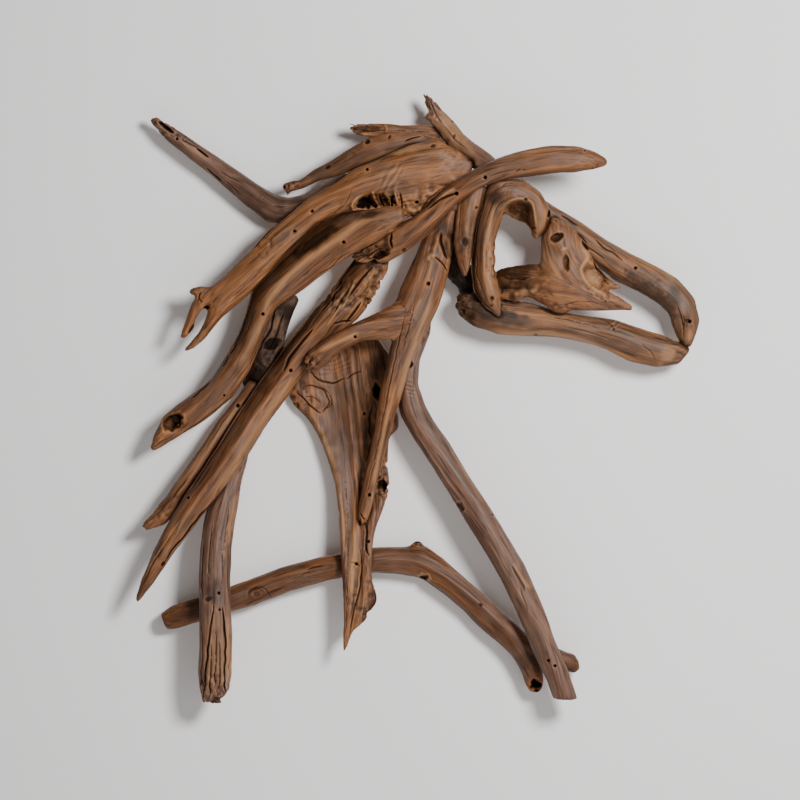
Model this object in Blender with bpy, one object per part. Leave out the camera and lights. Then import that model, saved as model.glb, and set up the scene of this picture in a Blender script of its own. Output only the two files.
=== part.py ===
"""Driftwood horse head: a wall sculpture of weathered branches fastened in layers.

The head looks to +X. +Z is up and the wall is the plane y = 0, with the whole
sculpture on its -Y side. The origin is on the flat back of the neck board,
where the sculpture hangs on the wall.

Every branch is a loft through its own stations. A station says where the
branch's centre is, how wide the branch looks from the front there, and how
thick it is from front to back.
"""
from collections import namedtuple
from math import radians

import bmesh
import bpy
from mathutils import Matrix, Vector
from mathutils.bvhtree import BVHTree

# Driving sizes, in metres
SCULPTURE_HEIGHT = 1.215
RELIEF_DEPTH = 0.171
FIT_GAP = 0.0003

# The stations are drawn in millimetres, on a sketch of this height and depth.
SKETCH_HEIGHT = 1215.0
SKETCH_DEPTH = 171.0

# Facets round a branch, a small splinter and the board, and from pole to pole of a hollow
BRANCH_SIDES = 10
SPLINTER_SIDES = 8
BOARD_SIDES = 12
HOLLOW_RINGS = 6

# Edges sharper than this, in degrees, stay sharp where the rest is shaded smooth.
SHARP_EDGE = 50.0

# The saw cut at the foot of the chest post, up from the mount in sketch millimetres
CHEST_POST_CUT = -636.0

# How deep the neck board's front is dished, as a share of its thickness
BOARD_DISH = 0.3

SEASONED_BROWN = (0.30, 0.155, 0.075)
SHADED_BROWN = (0.20, 0.100, 0.050)
GREYED_BROWN = (0.26, 0.150, 0.095)
ORANGE_BROWN = (0.33, 0.150, 0.060)
WOOD_ROUGHNESS = 0.75

Station = namedtuple("Station", "across up out width thickness")
Hollow = namedtuple("Hollow", "across up out width height depth")


def to_metres(across, up, out):
    """A sketch position as a point: across to the right, up, and out from the wall."""
    spread = SCULPTURE_HEIGHT / SKETCH_HEIGHT
    relief = RELIEF_DEPTH / SKETCH_DEPTH
    return Vector((across * spread, -out * relief, up * spread))


def sketch_scale(width, thickness):
    """A sketch width and thickness in metres."""
    spread = SCULPTURE_HEIGHT / SKETCH_HEIGHT
    relief = RELIEF_DEPTH / SKETCH_DEPTH
    return width * spread, thickness * relief


def round_section(u, v):
    """The plain oval section of a branch."""
    return u, v


def board_section(u, v):
    """A split board: flat behind, dished in front, with round edges."""
    side = round(v, 6)
    if side > 0.0:
        return u, 0.5
    if side < 0.0:
        return u, -0.5 + BOARD_DISH * (1.0 - (2.0 * u) ** 2)
    return u, 0.0


def section_frame(stations, index, level):
    """The frame of one section: its first axis across the branch, its second towards the wall."""
    before = stations[max(index - 1, 0)]
    after = stations[min(index + 1, len(stations) - 1)]
    run = Vector((after.across - before.across, 0.0, after.up - before.up)).normalized()
    if level:
        run = Vector((0.0, 0.0, -1.0))
    side = run.cross(Vector((0.0, 1.0, 0.0)))
    station = stations[index]
    width, thickness = sketch_scale(station.width, station.thickness)
    frame = Matrix.Identity(4)
    frame.col[0] = (*(side * width), 0.0)
    frame.col[1] = (0.0, thickness, 0.0, 0.0)
    frame.col[2] = (*run, 0.0)
    frame.col[3] = (*to_metres(station.across, station.up, station.out), 1.0)
    return frame


def ring_edges(ring):
    """The edges that close one ring of vertices."""
    members = set(ring)
    return [edge for edge in {e for v in ring for e in v.link_edges}
            if edge.verts[0] in members and edge.verts[1] in members]


def branch_mesh(stations, sides, section=round_section, level=False, saw_cut=None):
    """Loft one branch through its stations, square to its run or level. Returns a new mesh."""
    bm = bmesh.new()
    rings = []
    for index in range(len(stations)):
        frame = section_frame(stations, index, level)
        ring = bmesh.ops.create_circle(bm, segments=sides, radius=0.5)["verts"]
        for vertex in ring:
            u, v = section(vertex.co.x, vertex.co.y)
            vertex.co = frame @ Vector((u, v, 0.0))
        rings.append(ring)
    loops = [ring_edges(ring) for ring in rings]
    for first, second in zip(loops, loops[1:]):
        bmesh.ops.bridge_loops(bm, edges=first + second)
    bmesh.ops.contextual_create(bm, geom=loops[0])
    bmesh.ops.contextual_create(bm, geom=loops[-1])
    if saw_cut is not None:
        foot = to_metres(0.0, saw_cut, 0.0)
        whole = bm.verts[:] + bm.edges[:] + bm.faces[:]
        bmesh.ops.bisect_plane(bm, geom=whole, plane_co=foot, plane_no=(0, 0, -1), clear_outer=True)
        bmesh.ops.holes_fill(bm, edges=[edge for edge in bm.edges if edge.is_boundary])
    bmesh.ops.recalc_face_normals(bm, faces=bm.faces)
    mesh = bpy.data.meshes.new("branch")
    bm.to_mesh(mesh)
    bm.free()
    return mesh


def new_object(name, mesh, collection):
    """Put a mesh into a collection as an object."""
    item = bpy.data.objects.new(name, mesh)
    collection.objects.link(item)
    return item


def combine(target, tool, operation):
    """Add a Boolean of one object with another."""
    modifier = target.modifiers.new(operation.lower(), "BOOLEAN")
    modifier.operation = operation
    modifier.object = tool
    modifier.solver = "EXACT"
    modifier.use_self = True


def evaluated_mesh(item):
    """The item's mesh with its modifiers applied."""
    depsgraph = bpy.context.evaluated_depsgraph_get()
    return bpy.data.meshes.new_from_object(item.evaluated_get(depsgraph))


def hollow_mesh(hollow):
    """An oval bowl that is sunk into a branch."""
    width, depth = sketch_scale(hollow.width, hollow.depth)
    height, _ = sketch_scale(hollow.height, hollow.depth)
    size = Matrix.Diagonal((width, 2.0 * depth, height, 1.0))
    place = Matrix.Translation(to_metres(hollow.across, hollow.up, hollow.out))
    bm = bmesh.new()
    bmesh.ops.create_uvsphere(bm, u_segments=BRANCH_SIDES, v_segments=HOLLOW_RINGS,
                              radius=0.5, matrix=place @ size)
    mesh = bpy.data.meshes.new("hollow")
    bm.to_mesh(mesh)
    bm.free()
    return mesh


def triangulate(mesh):
    """Split a mesh's faces into triangles, so that a notch follows the very same surface."""
    bm = bmesh.new()
    bm.from_mesh(mesh)
    bmesh.ops.triangulate(bm, faces=bm.faces)
    bm.to_mesh(mesh)
    bm.free()


def make_piece(name, wood, stations, prongs=(), hollows=(), sides=BRANCH_SIDES,
               section=round_section, level=False, saw_cut=None):
    """One piece of driftwood: a branch with its prongs grown on and its hollows sunk in."""
    trunk = branch_mesh([Station(*row) for row in stations], sides, section, level, saw_cut)
    piece = new_object(name, trunk, sculpture)
    tools = []
    for prong in prongs:
        mesh = branch_mesh([Station(*row) for row in prong], SPLINTER_SIDES)
        tools.append(new_object(name + "_prong", mesh, cutters))
        combine(piece, tools[-1], "UNION")
    for hollow in hollows:
        tools.append(new_object(name + "_hollow", hollow_mesh(Hollow(*hollow)), cutters))
        combine(piece, tools[-1], "DIFFERENCE")
    if tools:
        whole = evaluated_mesh(piece)
        piece.modifiers.clear()
        piece.data = whole
    for tool in tools:
        bpy.data.objects.remove(tool)
    triangulate(piece.data)
    piece.data.name = name
    piece.data.shade_smooth()
    piece.data.set_sharp_from_angle(angle=radians(SHARP_EDGE))
    piece.data.materials.clear()
    piece.data.materials.append(wood)
    return piece


def wood_material(name, colour):
    """A matt wood of one colour."""
    material = bpy.data.materials.new(name)
    material.use_nodes = True
    shader = material.node_tree.nodes["Principled BSDF"]
    shader.inputs["Base Color"].default_value = (*colour, 1.0)
    shader.inputs["Roughness"].default_value = WOOD_ROUGHNESS
    shader.inputs["Metallic"].default_value = 0.0
    return material


# Each piece below lists its stations: across, up, out, width, thickness.


def forelock_branch(wood):
    """The long branch over the brow, in front of the skull, with a broken left end."""
    stations = [
        (511, 432, 140, 14, 12),
        (486, 435, 142, 38, 28),
        (450, 439, 145, 54, 42),
        (400, 437, 148, 57, 46),
        (352, 430, 147, 57, 46),
        (298, 418, 142, 46, 44),
        (254, 401, 136, 40, 44),
        (224, 382, 130, 40, 44),
        (195, 359, 125, 40, 44),
        (169, 330, 122, 40, 44),
        (137, 303, 120, 48, 44),
        (98, 281, 118, 60, 44),
        (63, 258, 114, 54, 40),
        (26, 248, 110, 30, 26),
        (6, 248, 108, 10, 12),
    ]
    return make_piece("forelock_branch", wood, stations,
                      hollows=[(46, 254, 136, 60, 30, 16)])


def crest_plank(wood):
    """The broad skull plate, which runs down into the forked upper lock of the mane."""
    stations = [
        (246, 434, 96, 8, 8),
        (223, 418, 92, 80, 26),
        (181, 422, 90, 124, 42),
        (144, 402, 88, 146, 52),
        (112, 390, 87, 146, 56),
        (64, 388, 86, 108, 56),
        (24, 378, 86, 96, 56),
        (-22, 359, 86, 68, 54),
        (-64, 338, 85, 62, 52),
        (-102, 304, 84, 66, 52),
        (-140, 273, 84, 67, 52),
        (-182, 231, 84, 62, 50),
        (-220, 194, 84, 62, 48),
        (-256, 164, 84, 66, 44),
        (-269, 132, 84, 33, 34),
        (-282, 109, 84, 23, 26),
        (-296, 88, 83, 17, 20),
        (-311, 72, 82, 15, 16),
        (-329, 57, 81, 9, 9),
    ]
    left_prong = [
        (-256, 176, 84, 30, 26),
        (-290, 160, 85, 38, 28),
        (-305, 146, 86, 26, 24),
        (-315, 124, 86, 21, 20),
        (-320, 106, 85, 25, 18),
        (-329, 92, 84, 16, 13),
        (-334, 82, 83, 7, 8),
    ]
    knob = [
        (-262, 172, 86, 26, 22),
        (-296, 178, 88, 22, 20),
        (-319, 175, 89, 14, 13),
    ]
    return make_piece("crest_plank", wood, stations, prongs=[left_prong, knob],
                      hollows=[(48, 353, 113, 84, 36, 26)])


def crest_strip(wood):
    """The thin strip along the top of the skull, with a frayed left end."""
    stations = [
        (-134, 385, 72, 14, 12),
        (-112, 387, 72, 24, 16),
        (-96, 390, 71, 20, 18),
        (-66, 408, 70, 27, 22),
        (-33, 420, 70, 36, 26),
        (9, 442, 70, 46, 28),
        (49, 459, 70, 56, 28),
        (88, 468, 70, 52, 28),
        (132, 474, 70, 38, 26),
        (166, 474, 68, 26, 22),
        (192, 470, 66, 14, 14),
    ]
    splinter = [
        (-114, 388, 72, 14, 12),
        (-122, 376, 72, 10, 9),
        (-127, 366, 72, 4, 5),
    ]
    return make_piece("crest_strip", wood, stations, prongs=[splinter], sides=SPLINTER_SIDES)


def crown_splinter(wood):
    """The splinter that lies behind the crest strip at the top of the head."""
    stations = [
        (3, 500, 56, 10, 8),
        (20, 498, 55, 25, 15),
        (40, 498, 54, 30, 19),
        (70, 498, 52, 30, 20),
        (100, 494, 50, 32, 20),
        (140, 494, 48, 32, 20),
        (186, 494, 46, 24, 16),
    ]
    splinter = [
        (34, 504, 55, 12, 10),
        (16, 509, 56, 8, 7),
        (2, 512, 57, 6, 6),
    ]
    return make_piece("crown_splinter", wood, stations, prongs=[splinter], sides=SPLINTER_SIDES)


def front_ear(wood):
    """The front ear: a torn stub that stands up behind the skull plate."""
    stations = [
        (150, 568, 54, 10, 10),
        (160, 554, 53, 22, 18),
        (168, 540, 52, 25, 22),
        (177, 522, 50, 38, 28),
        (194, 503, 47, 42, 34),
        (212, 478, 54, 44, 40),
        (232, 460, 70, 42, 44),
        (260, 438, 86, 46, 46),
        (286, 422, 100, 34, 44),
        (304, 412, 106, 14, 30),
    ]
    spur = [
        (178, 522, 50, 20, 16),
        (160, 525, 52, 16, 12),
        (147, 526, 53, 12, 9),
    ]
    return make_piece("front_ear", wood, stations, prongs=[spur])


def rear_ear(wood):
    """The rear ear: a long tapered branch whose root lies behind the skull plate."""
    stations = [
        (-396, 520, 40, 15, 14),
        (-388, 515, 40, 20, 18),
        (-359, 491, 39, 31, 28),
        (-310, 455, 37, 35, 34),
        (-270, 427, 35, 38, 38),
        (-233, 399, 33, 45, 44),
        (-191, 366, 31, 51, 50),
        (-154, 342, 33, 59, 56),
        (-118, 336, 37, 58, 60),
        (-80, 347, 41, 54, 60),
        (-40, 375, 44, 48, 52),
        (0, 402, 44, 34, 44),
    ]
    return make_piece("rear_ear", wood, stations,
                      hollows=[(-368, 503, 52, 15, 12, 12)])


def mane_lock_upper(wood):
    """The second lock of the mane, from the front of the skull down to a knot hole."""
    stations = [
        (107, 331, 150, 24, 18),
        (85, 324, 147, 46, 28),
        (51, 309, 140, 66, 40),
        (4, 294, 122, 86, 50),
        (-42, 273, 105, 94, 54),
        (-88, 234, 92, 84, 56),
        (-128, 200, 83, 80, 56),
        (-170, 161, 78, 60, 54),
        (-187, 120, 76, 50, 52),
        (-200, 82, 75, 52, 52),
        (-223, 33, 74, 58, 52),
        (-253, -15, 73, 59, 50),
        (-289, -46, 72, 59, 48),
        (-326, -72, 71, 59, 44),
        (-357, -93, 70, 51, 38),
        (-381, -121, 70, 30, 24),
        (-393, -138, 70, 10, 10),
    ]
    return make_piece("mane_lock_upper", wood, stations,
                      hollows=[(-352, -86, 92, 36, 40, 24)])


def mane_rear_block(wood):
    """The short rough block that ties the upper lock to the long lock from behind."""
    stations = [
        (-108, 166, 34, 14, 20),
        (-138, 134, 34, 50, 44),
        (-165, 92, 34, 74, 54),
        (-172, 46, 32, 92, 54),
        (-184, 10, 30, 66, 46),
        (-200, -18, 28, 34, 26),
    ]
    return make_piece("mane_rear_block", wood, stations)


def mane_lock_long(wood):
    """The longest lock of the mane, from behind the brow branch to a split point."""
    stations = [
        (72, 276, 86, 34, 30),
        (49, 240, 84, 65, 46),
        (23, 195, 78, 81, 52),
        (-11, 150, 72, 80, 56),
        (-50, 110, 66, 72, 58),
        (-108, 45, 59, 64, 60),
        (-148, -11, 61, 66, 58),
        (-195, -78, 72, 62, 52),
        (-237, -146, 84, 63, 50),
        (-285, -213, 90, 58, 46),
        (-330, -278, 90, 52, 42),
        (-373, -345, 86, 38, 32),
        (-403, -401, 82, 24, 20),
        (-424, -440, 80, 8, 9),
    ]
    return make_piece("mane_lock_long", wood, stations)


def mane_lock_lower(wood):
    """The lock under the long one."""
    stations = [
        (-188, -4, 36, 32, 26),
        (-200, -42, 40, 50, 36),
        (-239, -92, 46, 56, 38),
        (-271, -138, 52, 50, 38),
        (-308, -189, 58, 48, 38),
        (-350, -245, 62, 46, 34),
        (-381, -277, 64, 36, 26),
        (-410, -294, 65, 13, 12),
    ]
    return make_piece("mane_lock_lower", wood, stations)


def neck_fork(wood):
    """The forked branch down the neck, with one arm across the mane."""
    stations = [
        (206, 342, 98, 22, 26),
        (180, 290, 92, 60, 42),
        (166, 242, 88, 72, 50),
        (153, 204, 88, 82, 54),
        (136, 158, 91, 87, 54),
        (122, 113, 94, 72, 52),
        (107, 68, 93, 50, 46),
        (93, 18, 88, 45, 42),
        (80, -30, 82, 44, 40),
        (65, -92, 72, 36, 36),
        (52, -156, 64, 31, 32),
        (40, -208, 62, 29, 30),
        (31, -252, 65, 27, 26),
        (25, -284, 68, 16, 18),
    ]
    arm = [
        (130, 146, 92, 70, 44),
        (98, 118, 98, 76, 44),
        (62, 107, 102, 58, 40),
        (16, 96, 104, 36, 36),
        (-29, 72, 102, 37, 36),
        (-66, 42, 98, 42, 36),
        (-82, 22, 93, 30, 26),
    ]
    return make_piece("neck_fork", wood, stations, prongs=[arm])


def neck_board(wood):
    """The dished board at the base of the neck. Its flat back is what hangs on the wall."""
    stations = [
        (6, 98, 16, 66, 32),
        (7, 78, 16, 108, 32),
        (-15, 52, 16, 190, 32),
        (-27, 10, 16, 226, 32),
        (-19, -38, 16, 212, 32),
        (6, -76, 16, 188, 32),
        (12, -97, 17, 172, 32),
        (9, -114, 20, 142, 32),
        (17, -164, 28, 122, 31),
        (25, -210, 38, 112, 30),
        (20, -264, 50, 88, 29),
        (14, -320, 62, 68, 28),
        (14, -386, 68, 59, 28),
        (20, -440, 70, 68, 24),
        (7, -482, 70, 40, 20),
        (-3, -500, 70, 20, 16),
        (-8, -522, 70, 13, 12),
        (-11, -546, 70, 4, 6),
    ]
    return make_piece("neck_board", wood, stations, sides=BOARD_SIDES, section=board_section,
                      level=True, hollows=[(52, -26, 30, 12, 38, 12), (68, -212, 52, 20, 22, 14)])


def chest_post(wood):
    """The long post down the chest, sawn level at its foot."""
    stations = [
        (150, 156, 46, 22, 30),
        (141, 100, 48, 44, 44),
        (122, 44, 50, 40, 46),
        (114, -10, 53, 48, 48),
        (126, -60, 58, 54, 50),
        (145, -95, 62, 52, 50),
        (179, -147, 66, 56, 52),
        (228, -224, 71, 55, 52),
        (280, -308, 76, 57, 52),
        (324, -380, 78, 59, 52),
        (352, -443, 79, 56, 52),
        (384, -523, 79, 51, 52),
        (413, -587, 78, 50, 50),
        (438, -660, 77, 48, 48),
    ]
    return make_piece("chest_post", wood, stations, saw_cut=CHEST_POST_CUT)


def cross_branch(wood):
    """The branch across the bottom, behind both posts."""
    stations = [
        (-372, -482, 27, 36, 32),
        (-354, -474, 27, 48, 44),
        (-304, -459, 30, 49, 50),
        (-238, -438, 30, 52, 50),
        (-200, -426, 28, 56, 50),
        (-130, -398, 27, 54, 50),
        (-50, -376, 27, 52, 50),
        (46, -360, 27, 52, 50),
        (100, -361, 27, 56, 50),
        (140, -363, 27, 66, 50),
        (168, -379, 27, 58, 50),
        (207, -410, 27, 52, 50),
        (248, -444, 27, 54, 50),
        (283, -479, 27, 56, 50),
        (314, -503, 31, 56, 50),
        (342, -532, 33, 54, 52),
        (363, -573, 35, 46, 48),
        (369, -604, 35, 38, 38),
        (372, -622, 35, 24, 24),
    ]
    right_prong = [
        (350, -530, 36, 38, 44),
        (410, -552, 37, 36, 40),
        (442, -565, 35, 38, 32),
        (454, -580, 34, 20, 18),
    ]
    knob = [
        (128, -354, 28, 36, 32),
        (134, -334, 28, 26, 24),
        (137, -322, 28, 10, 10),
    ]
    return make_piece("cross_branch", wood, stations, prongs=[right_prong, knob],
                      hollows=[(148, -394, 48, 16, 15, 12), (370, -606, 53, 20, 22, 16)])


def back_post(wood):
    """The thick post under the mane, broken off at its foot."""
    stations = [
        (-206, -92, 40, 26, 30),
        (-227, -150, 44, 50, 40),
        (-244, -200, 52, 58, 48),
        (-255, -256, 63, 62, 54),
        (-264, -310, 72, 64, 56),
        (-269, -390, 80, 65, 58),
        (-268, -460, 82, 64, 58),
        (-267, -520, 82, 66, 60),
        (-269, -580, 80, 69, 60),
        (-270, -614, 79, 62, 56),
        (-278, -639, 78, 34, 36),
    ]
    return make_piece("back_post", wood, stations)


def lower_jaw(wood):
    """The lower jaw, from the throat to the chin."""
    stations = [
        (212, 160, 66, 28, 34),
        (230, 153, 67, 58, 48),
        (260, 139, 68, 72, 52),
        (302, 126, 68, 74, 52),
        (360, 120, 68, 68, 52),
        (416, 111, 67, 54, 50),
        (478, 100, 65, 57, 50),
        (519, 91, 64, 67, 52),
        (571, 69, 62, 72, 52),
        (618, 57, 60, 67, 50),
        (653, 54, 58, 48, 40),
        (676, 62, 57, 12, 16),
    ]
    return make_piece("lower_jaw", wood, stations)


def nose_branch(wood):
    """The bridge of the nose, which turns down to meet the chin."""
    stations = [
        (334, 370, 72, 28, 28),
        (377, 338, 69, 48, 42),
        (434, 299, 63, 56, 44),
        (495, 258, 62, 54, 46),
        (544, 225, 62, 65, 48),
        (594, 201, 62, 63, 48),
        (634, 178, 62, 66, 48),
        (662, 147, 60, 61, 46),
        (670, 115, 58, 58, 44),
        (671, 88, 57, 40, 32),
        (673, 63, 57, 14, 16),
    ]
    return make_piece("nose_branch", wood, stations)


def eye_arch(wood):
    """The hook-shaped piece that frames the eye, from the cheek over to the brow."""
    stations = [
        (298, 126, 99, 7, 12),
        (286, 150, 100, 34, 28),
        (271, 182, 101, 54, 38),
        (266, 220, 102, 52, 42),
        (265, 256, 102, 52, 44),
        (266, 280, 102, 50, 44),
        (272, 308, 103, 54, 44),
        (284, 344, 105, 50, 46),
        (301, 378, 108, 76, 50),
        (325, 367, 109, 80, 50),
        (355, 345, 105, 76, 44),
        (375, 322, 101, 56, 38),
        (375, 299, 98, 38, 30),
        (367, 281, 96, 9, 12),
    ]
    return make_piece("eye_arch", wood, stations,
                      hollows=[(338, 333, 126, 46, 40, 16)])


def temple_strip(wood):
    """The pointed strip between the neck and the eye."""
    stations = [
        (252, 392, 106, 52, 22),
        (242, 360, 108, 55, 28),
        (232, 321, 110, 46, 28),
        (226, 270, 111, 41, 28),
        (228, 232, 110, 27, 22),
        (230, 205, 108, 7, 9),
    ]
    return make_piece("temple_strip", wood, stations)


def cheek_knot(wood):
    """The root knot of the cheek, with two spikes towards the nose."""
    stations = [
        (404, 322, 94, 18, 24),
        (409, 302, 98, 62, 38),
        (419, 272, 101, 84, 44),
        (428, 248, 102, 106, 46),
        (434, 218, 103, 112, 46),
        (436, 190, 103, 124, 44),
        (442, 160, 101, 112, 38),
        (448, 141, 99, 66, 22),
    ]
    lower_bar = [
        (286, 196, 70, 50, 18),
        (300, 192, 74, 68, 22),
        (322, 188, 78, 78, 28),
        (352, 197, 86, 68, 32),
        (392, 192, 96, 88, 36),
        (450, 177, 104, 82, 38),
        (500, 158, 106, 48, 26),
        (532, 151, 106, 30, 18),
        (563, 141, 106, 9, 9),
    ]
    upper_spike = [
        (468, 221, 106, 52, 32),
        (504, 194, 107, 26, 22),
        (524, 187, 107, 16, 14),
        (540, 183, 107, 6, 7),
    ]
    return make_piece("cheek_knot", wood, stations, prongs=[lower_bar, upper_spike],
                      hollows=[(410, 286, 122, 26, 15, 14), (428, 236, 130, 17, 46, 14),
                               (464, 268, 118, 16, 12, 14)])


def throat_block(wood):
    """The dark block in the throat that ties the jaw to the neck from behind."""
    stations = [
        (208, 304, 62, 16, 20),
        (206, 284, 56, 36, 34),
        (204, 250, 48, 62, 52),
        (213, 222, 46, 58, 56),
        (236, 194, 44, 42, 52),
        (244, 160, 40, 46, 42),
        (258, 136, 38, 20, 22),
    ]
    return make_piece("throat_block", wood, stations)


def grown_copy(piece):
    """A hidden copy of a piece, grown by the fit gap, that notches what lies behind it."""
    bm = bmesh.new()
    bm.from_mesh(piece.data)
    bm.normal_update()
    shifts = [(vertex, vertex.normal * vertex.calc_shell_factor() * FIT_GAP) for vertex in bm.verts]
    for vertex, shift in shifts:
        vertex.co += shift
    mesh = bpy.data.meshes.new(piece.name + "_notch")
    bm.to_mesh(mesh)
    bm.free()
    cutter = new_object(piece.name + "_notch", mesh, cutters)
    cutter.hide_render = True
    cutter.display_type = "WIRE"
    return cutter


def surface_tree(item):
    """A search tree of the item's faces."""
    bm = bmesh.new()
    bm.from_mesh(item.data)
    tree = BVHTree.FromBMesh(bm)
    bm.free()
    return tree


def fit_together(pieces):
    """Notch every piece where a piece in front of it presses in. The list runs front to back."""
    for place, front in enumerate(pieces):
        cutter = grown_copy(front)
        reach = surface_tree(cutter)
        met = [behind for behind in pieces[place + 1:] if reach.overlap(surface_tree(behind))]
        for behind in met:
            combine(behind, cutter, "DIFFERENCE")
        if not met:
            bpy.data.objects.remove(cutter)


for leftover in list(bpy.data.objects):
    bpy.data.objects.remove(leftover)

sculpture = bpy.data.collections.new("driftwood_horse_head")
cutters = bpy.data.collections.new("cutters")
bpy.context.scene.collection.children.link(sculpture)
bpy.context.scene.collection.children.link(cutters)

seasoned = wood_material("seasoned_driftwood", SEASONED_BROWN)
shaded = wood_material("shaded_driftwood", SHADED_BROWN)
greyed = wood_material("greyed_driftwood", GREYED_BROWN)
orange = wood_material("orange_driftwood", ORANGE_BROWN)

front_to_back = [
    forelock_branch(seasoned),
    crest_plank(seasoned),
    mane_lock_upper(seasoned),
    neck_fork(seasoned),
    temple_strip(seasoned),
    eye_arch(seasoned),
    cheek_knot(seasoned),
    lower_jaw(greyed),
    nose_branch(seasoned),
    front_ear(seasoned),
    crest_strip(seasoned),
    crown_splinter(seasoned),
    rear_ear(greyed),
    mane_lock_long(seasoned),
    back_post(greyed),
    chest_post(greyed),
    neck_board(seasoned),
    mane_lock_lower(seasoned),
    cross_branch(orange),
    mane_rear_block(shaded),
    throat_block(shaded),
]
fit_together(front_to_back)
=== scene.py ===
"""Looks of the driftwood horse head: worn, checked wood on every branch, on a plain wall.

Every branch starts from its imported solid. It is rounded, given its splinters, holes,
cracks and ridges, and finished as weathered teak root. Positions are in millimetres
from the mount: across to the right, up, and out from the wall.
"""
from collections import namedtuple
from math import cos, pi, radians, sin

import bmesh
import bpy
import numpy as np
from bpy.props import FloatProperty, FloatVectorProperty, PointerProperty
from mathutils import Matrix, Vector
from mathutils.bvhtree import BVHTree


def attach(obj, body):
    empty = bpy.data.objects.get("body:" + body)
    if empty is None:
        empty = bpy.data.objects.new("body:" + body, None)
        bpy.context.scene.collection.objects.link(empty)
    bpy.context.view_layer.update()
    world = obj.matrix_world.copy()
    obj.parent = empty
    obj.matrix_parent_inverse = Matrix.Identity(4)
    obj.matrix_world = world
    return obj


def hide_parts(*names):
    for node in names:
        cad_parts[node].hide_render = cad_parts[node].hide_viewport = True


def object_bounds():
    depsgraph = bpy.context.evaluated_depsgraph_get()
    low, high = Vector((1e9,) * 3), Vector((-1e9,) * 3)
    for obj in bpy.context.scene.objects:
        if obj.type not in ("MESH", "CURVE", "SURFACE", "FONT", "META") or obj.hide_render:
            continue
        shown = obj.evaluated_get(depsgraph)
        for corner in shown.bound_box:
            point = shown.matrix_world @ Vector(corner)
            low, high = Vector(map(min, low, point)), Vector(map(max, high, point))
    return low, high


bl_info = {
    "name": "Driftwood Horse Head",
    "version": (1, 0, 0),
    "blender": (4, 5, 0),
    "location": "View3D > Sidebar > Driftwood",
    "description": "Builds the weathered wood of a driftwood horse head for a wall",
    "category": "Object",
}

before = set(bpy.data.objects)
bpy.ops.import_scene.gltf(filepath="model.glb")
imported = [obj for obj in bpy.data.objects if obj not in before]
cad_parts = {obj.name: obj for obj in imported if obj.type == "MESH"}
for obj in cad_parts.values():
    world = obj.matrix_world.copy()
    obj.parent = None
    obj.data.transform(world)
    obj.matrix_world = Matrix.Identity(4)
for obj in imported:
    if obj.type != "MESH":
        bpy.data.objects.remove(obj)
CAD_LOW, CAD_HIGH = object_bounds()

MM = 0.001
MERGE = 0.00001
# Voxels of the two remeshes, in metres: one to round the branch, one to carve it
ROUNDING_VOXEL = 0.003
CARVING_VOXEL = 0.0029
# An edge is steep from this change of height, in millimetres, or of darkness
STEEP_RISE = 1.2
STEEP_SHADE = 0.3
# How far apart the points of a branch's grain line are, in millimetres
LINE_STEP = 6.0
# The branch's core is found for slices of this length, and evened out over so many of them
SLICE = 12.0
CORE_SLICES = 9
# How far two grain lines blend into one another, in millimetres
GRAIN_BLEND = 6.0
# A crack wanders once in so many millimetres
WANDER_LENGTH = 15.0
# Farther than any point of the head, in millimetres
FAR = 1e9
# How near to another branch painted shade starts on the wood, in millimetres, and how dark it gets
CREVICE_REACH = 9.0
CREVICE_SHADE = 0.75
# Crests stand out from the skin once it is evened out so often: fine ones, and broad ones.
# From such a height, in millimetres, a crest is fully worn and a groove fully in painted shade.
# Both kinds count by a share.
FINE_ROUNDS = 6
FINE_CREST = 0.6
BROAD_ROUNDS = 30
BROAD_CREST = 1.6
CREST_SHARE = 0.6

# The stage: the picture's centre and width in metres, the light's direction in degrees
VIEW_CENTRE = (0.100, 0.0, -0.040)
VIEW_WIDTH = 1.6
CAMERA_LENS = 450.0
SENSOR_WIDTH = 36.0
STAGE_WIDTH = 12.0
WALL_GAP = 0.002
FLOOR_UP = -1.05
LIGHT_RIGHT = 27.0
LIGHT_UP = 18.0
LIGHT_DISTANCE = 4.0
LIGHT_SIZE = 1.1
# The light behind the wall shows the back of the head. Its power is a share of the key's.
BACK_LIGHT_PLACE = (0.6, 3.0, 1.2)
BACK_LIGHT_SIZE = 2.0
BACK_LIGHT_SHARE = 0.5


def to_linear(hex_colour):
    """An sRGB hex colour as linear RGB."""
    channels = [int(hex_colour[k:k + 2], 16) / 255 for k in (1, 3, 5)]
    return tuple(c / 12.92 if c <= 0.04045 else ((c + 0.055) / 1.055) ** 2.4 for c in channels)


def smooth_step(low, high, value):
    """0 below low, 1 above high, and an even curve between. It also falls, with low above high."""
    share = np.clip((value - low) / (high - low), 0.0, 1.0)
    return share * share * (3.0 - 2.0 * share)


def lattice(cells, seed):
    """A steady random number from -1 to 1 for each whole-number cell."""
    mixed = cells[:, 0] * 374761393 + cells[:, 1] * 668265263 + cells[:, 2] * 1442695041
    mixed = mixed + seed * 974634777
    mixed = (mixed ^ (mixed >> 13)) * 1274126177
    mixed = mixed ^ (mixed >> 16)
    return (mixed & 0xFFFF) / 32767.5 - 1.0


def noise(points, seed):
    """Smooth noise from -1 to 1 that changes over one unit."""
    base = np.floor(points).astype(np.int64)
    part = points - base
    part = part * part * (3.0 - 2.0 * part)
    total = np.zeros(len(points))
    for corner in range(8):
        step = np.array([corner & 1, (corner >> 1) & 1, corner >> 2])
        weight = np.prod(np.where(step, part, 1.0 - part), axis=1)
        total += weight * lattice(base + step, seed)
    return total


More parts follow.
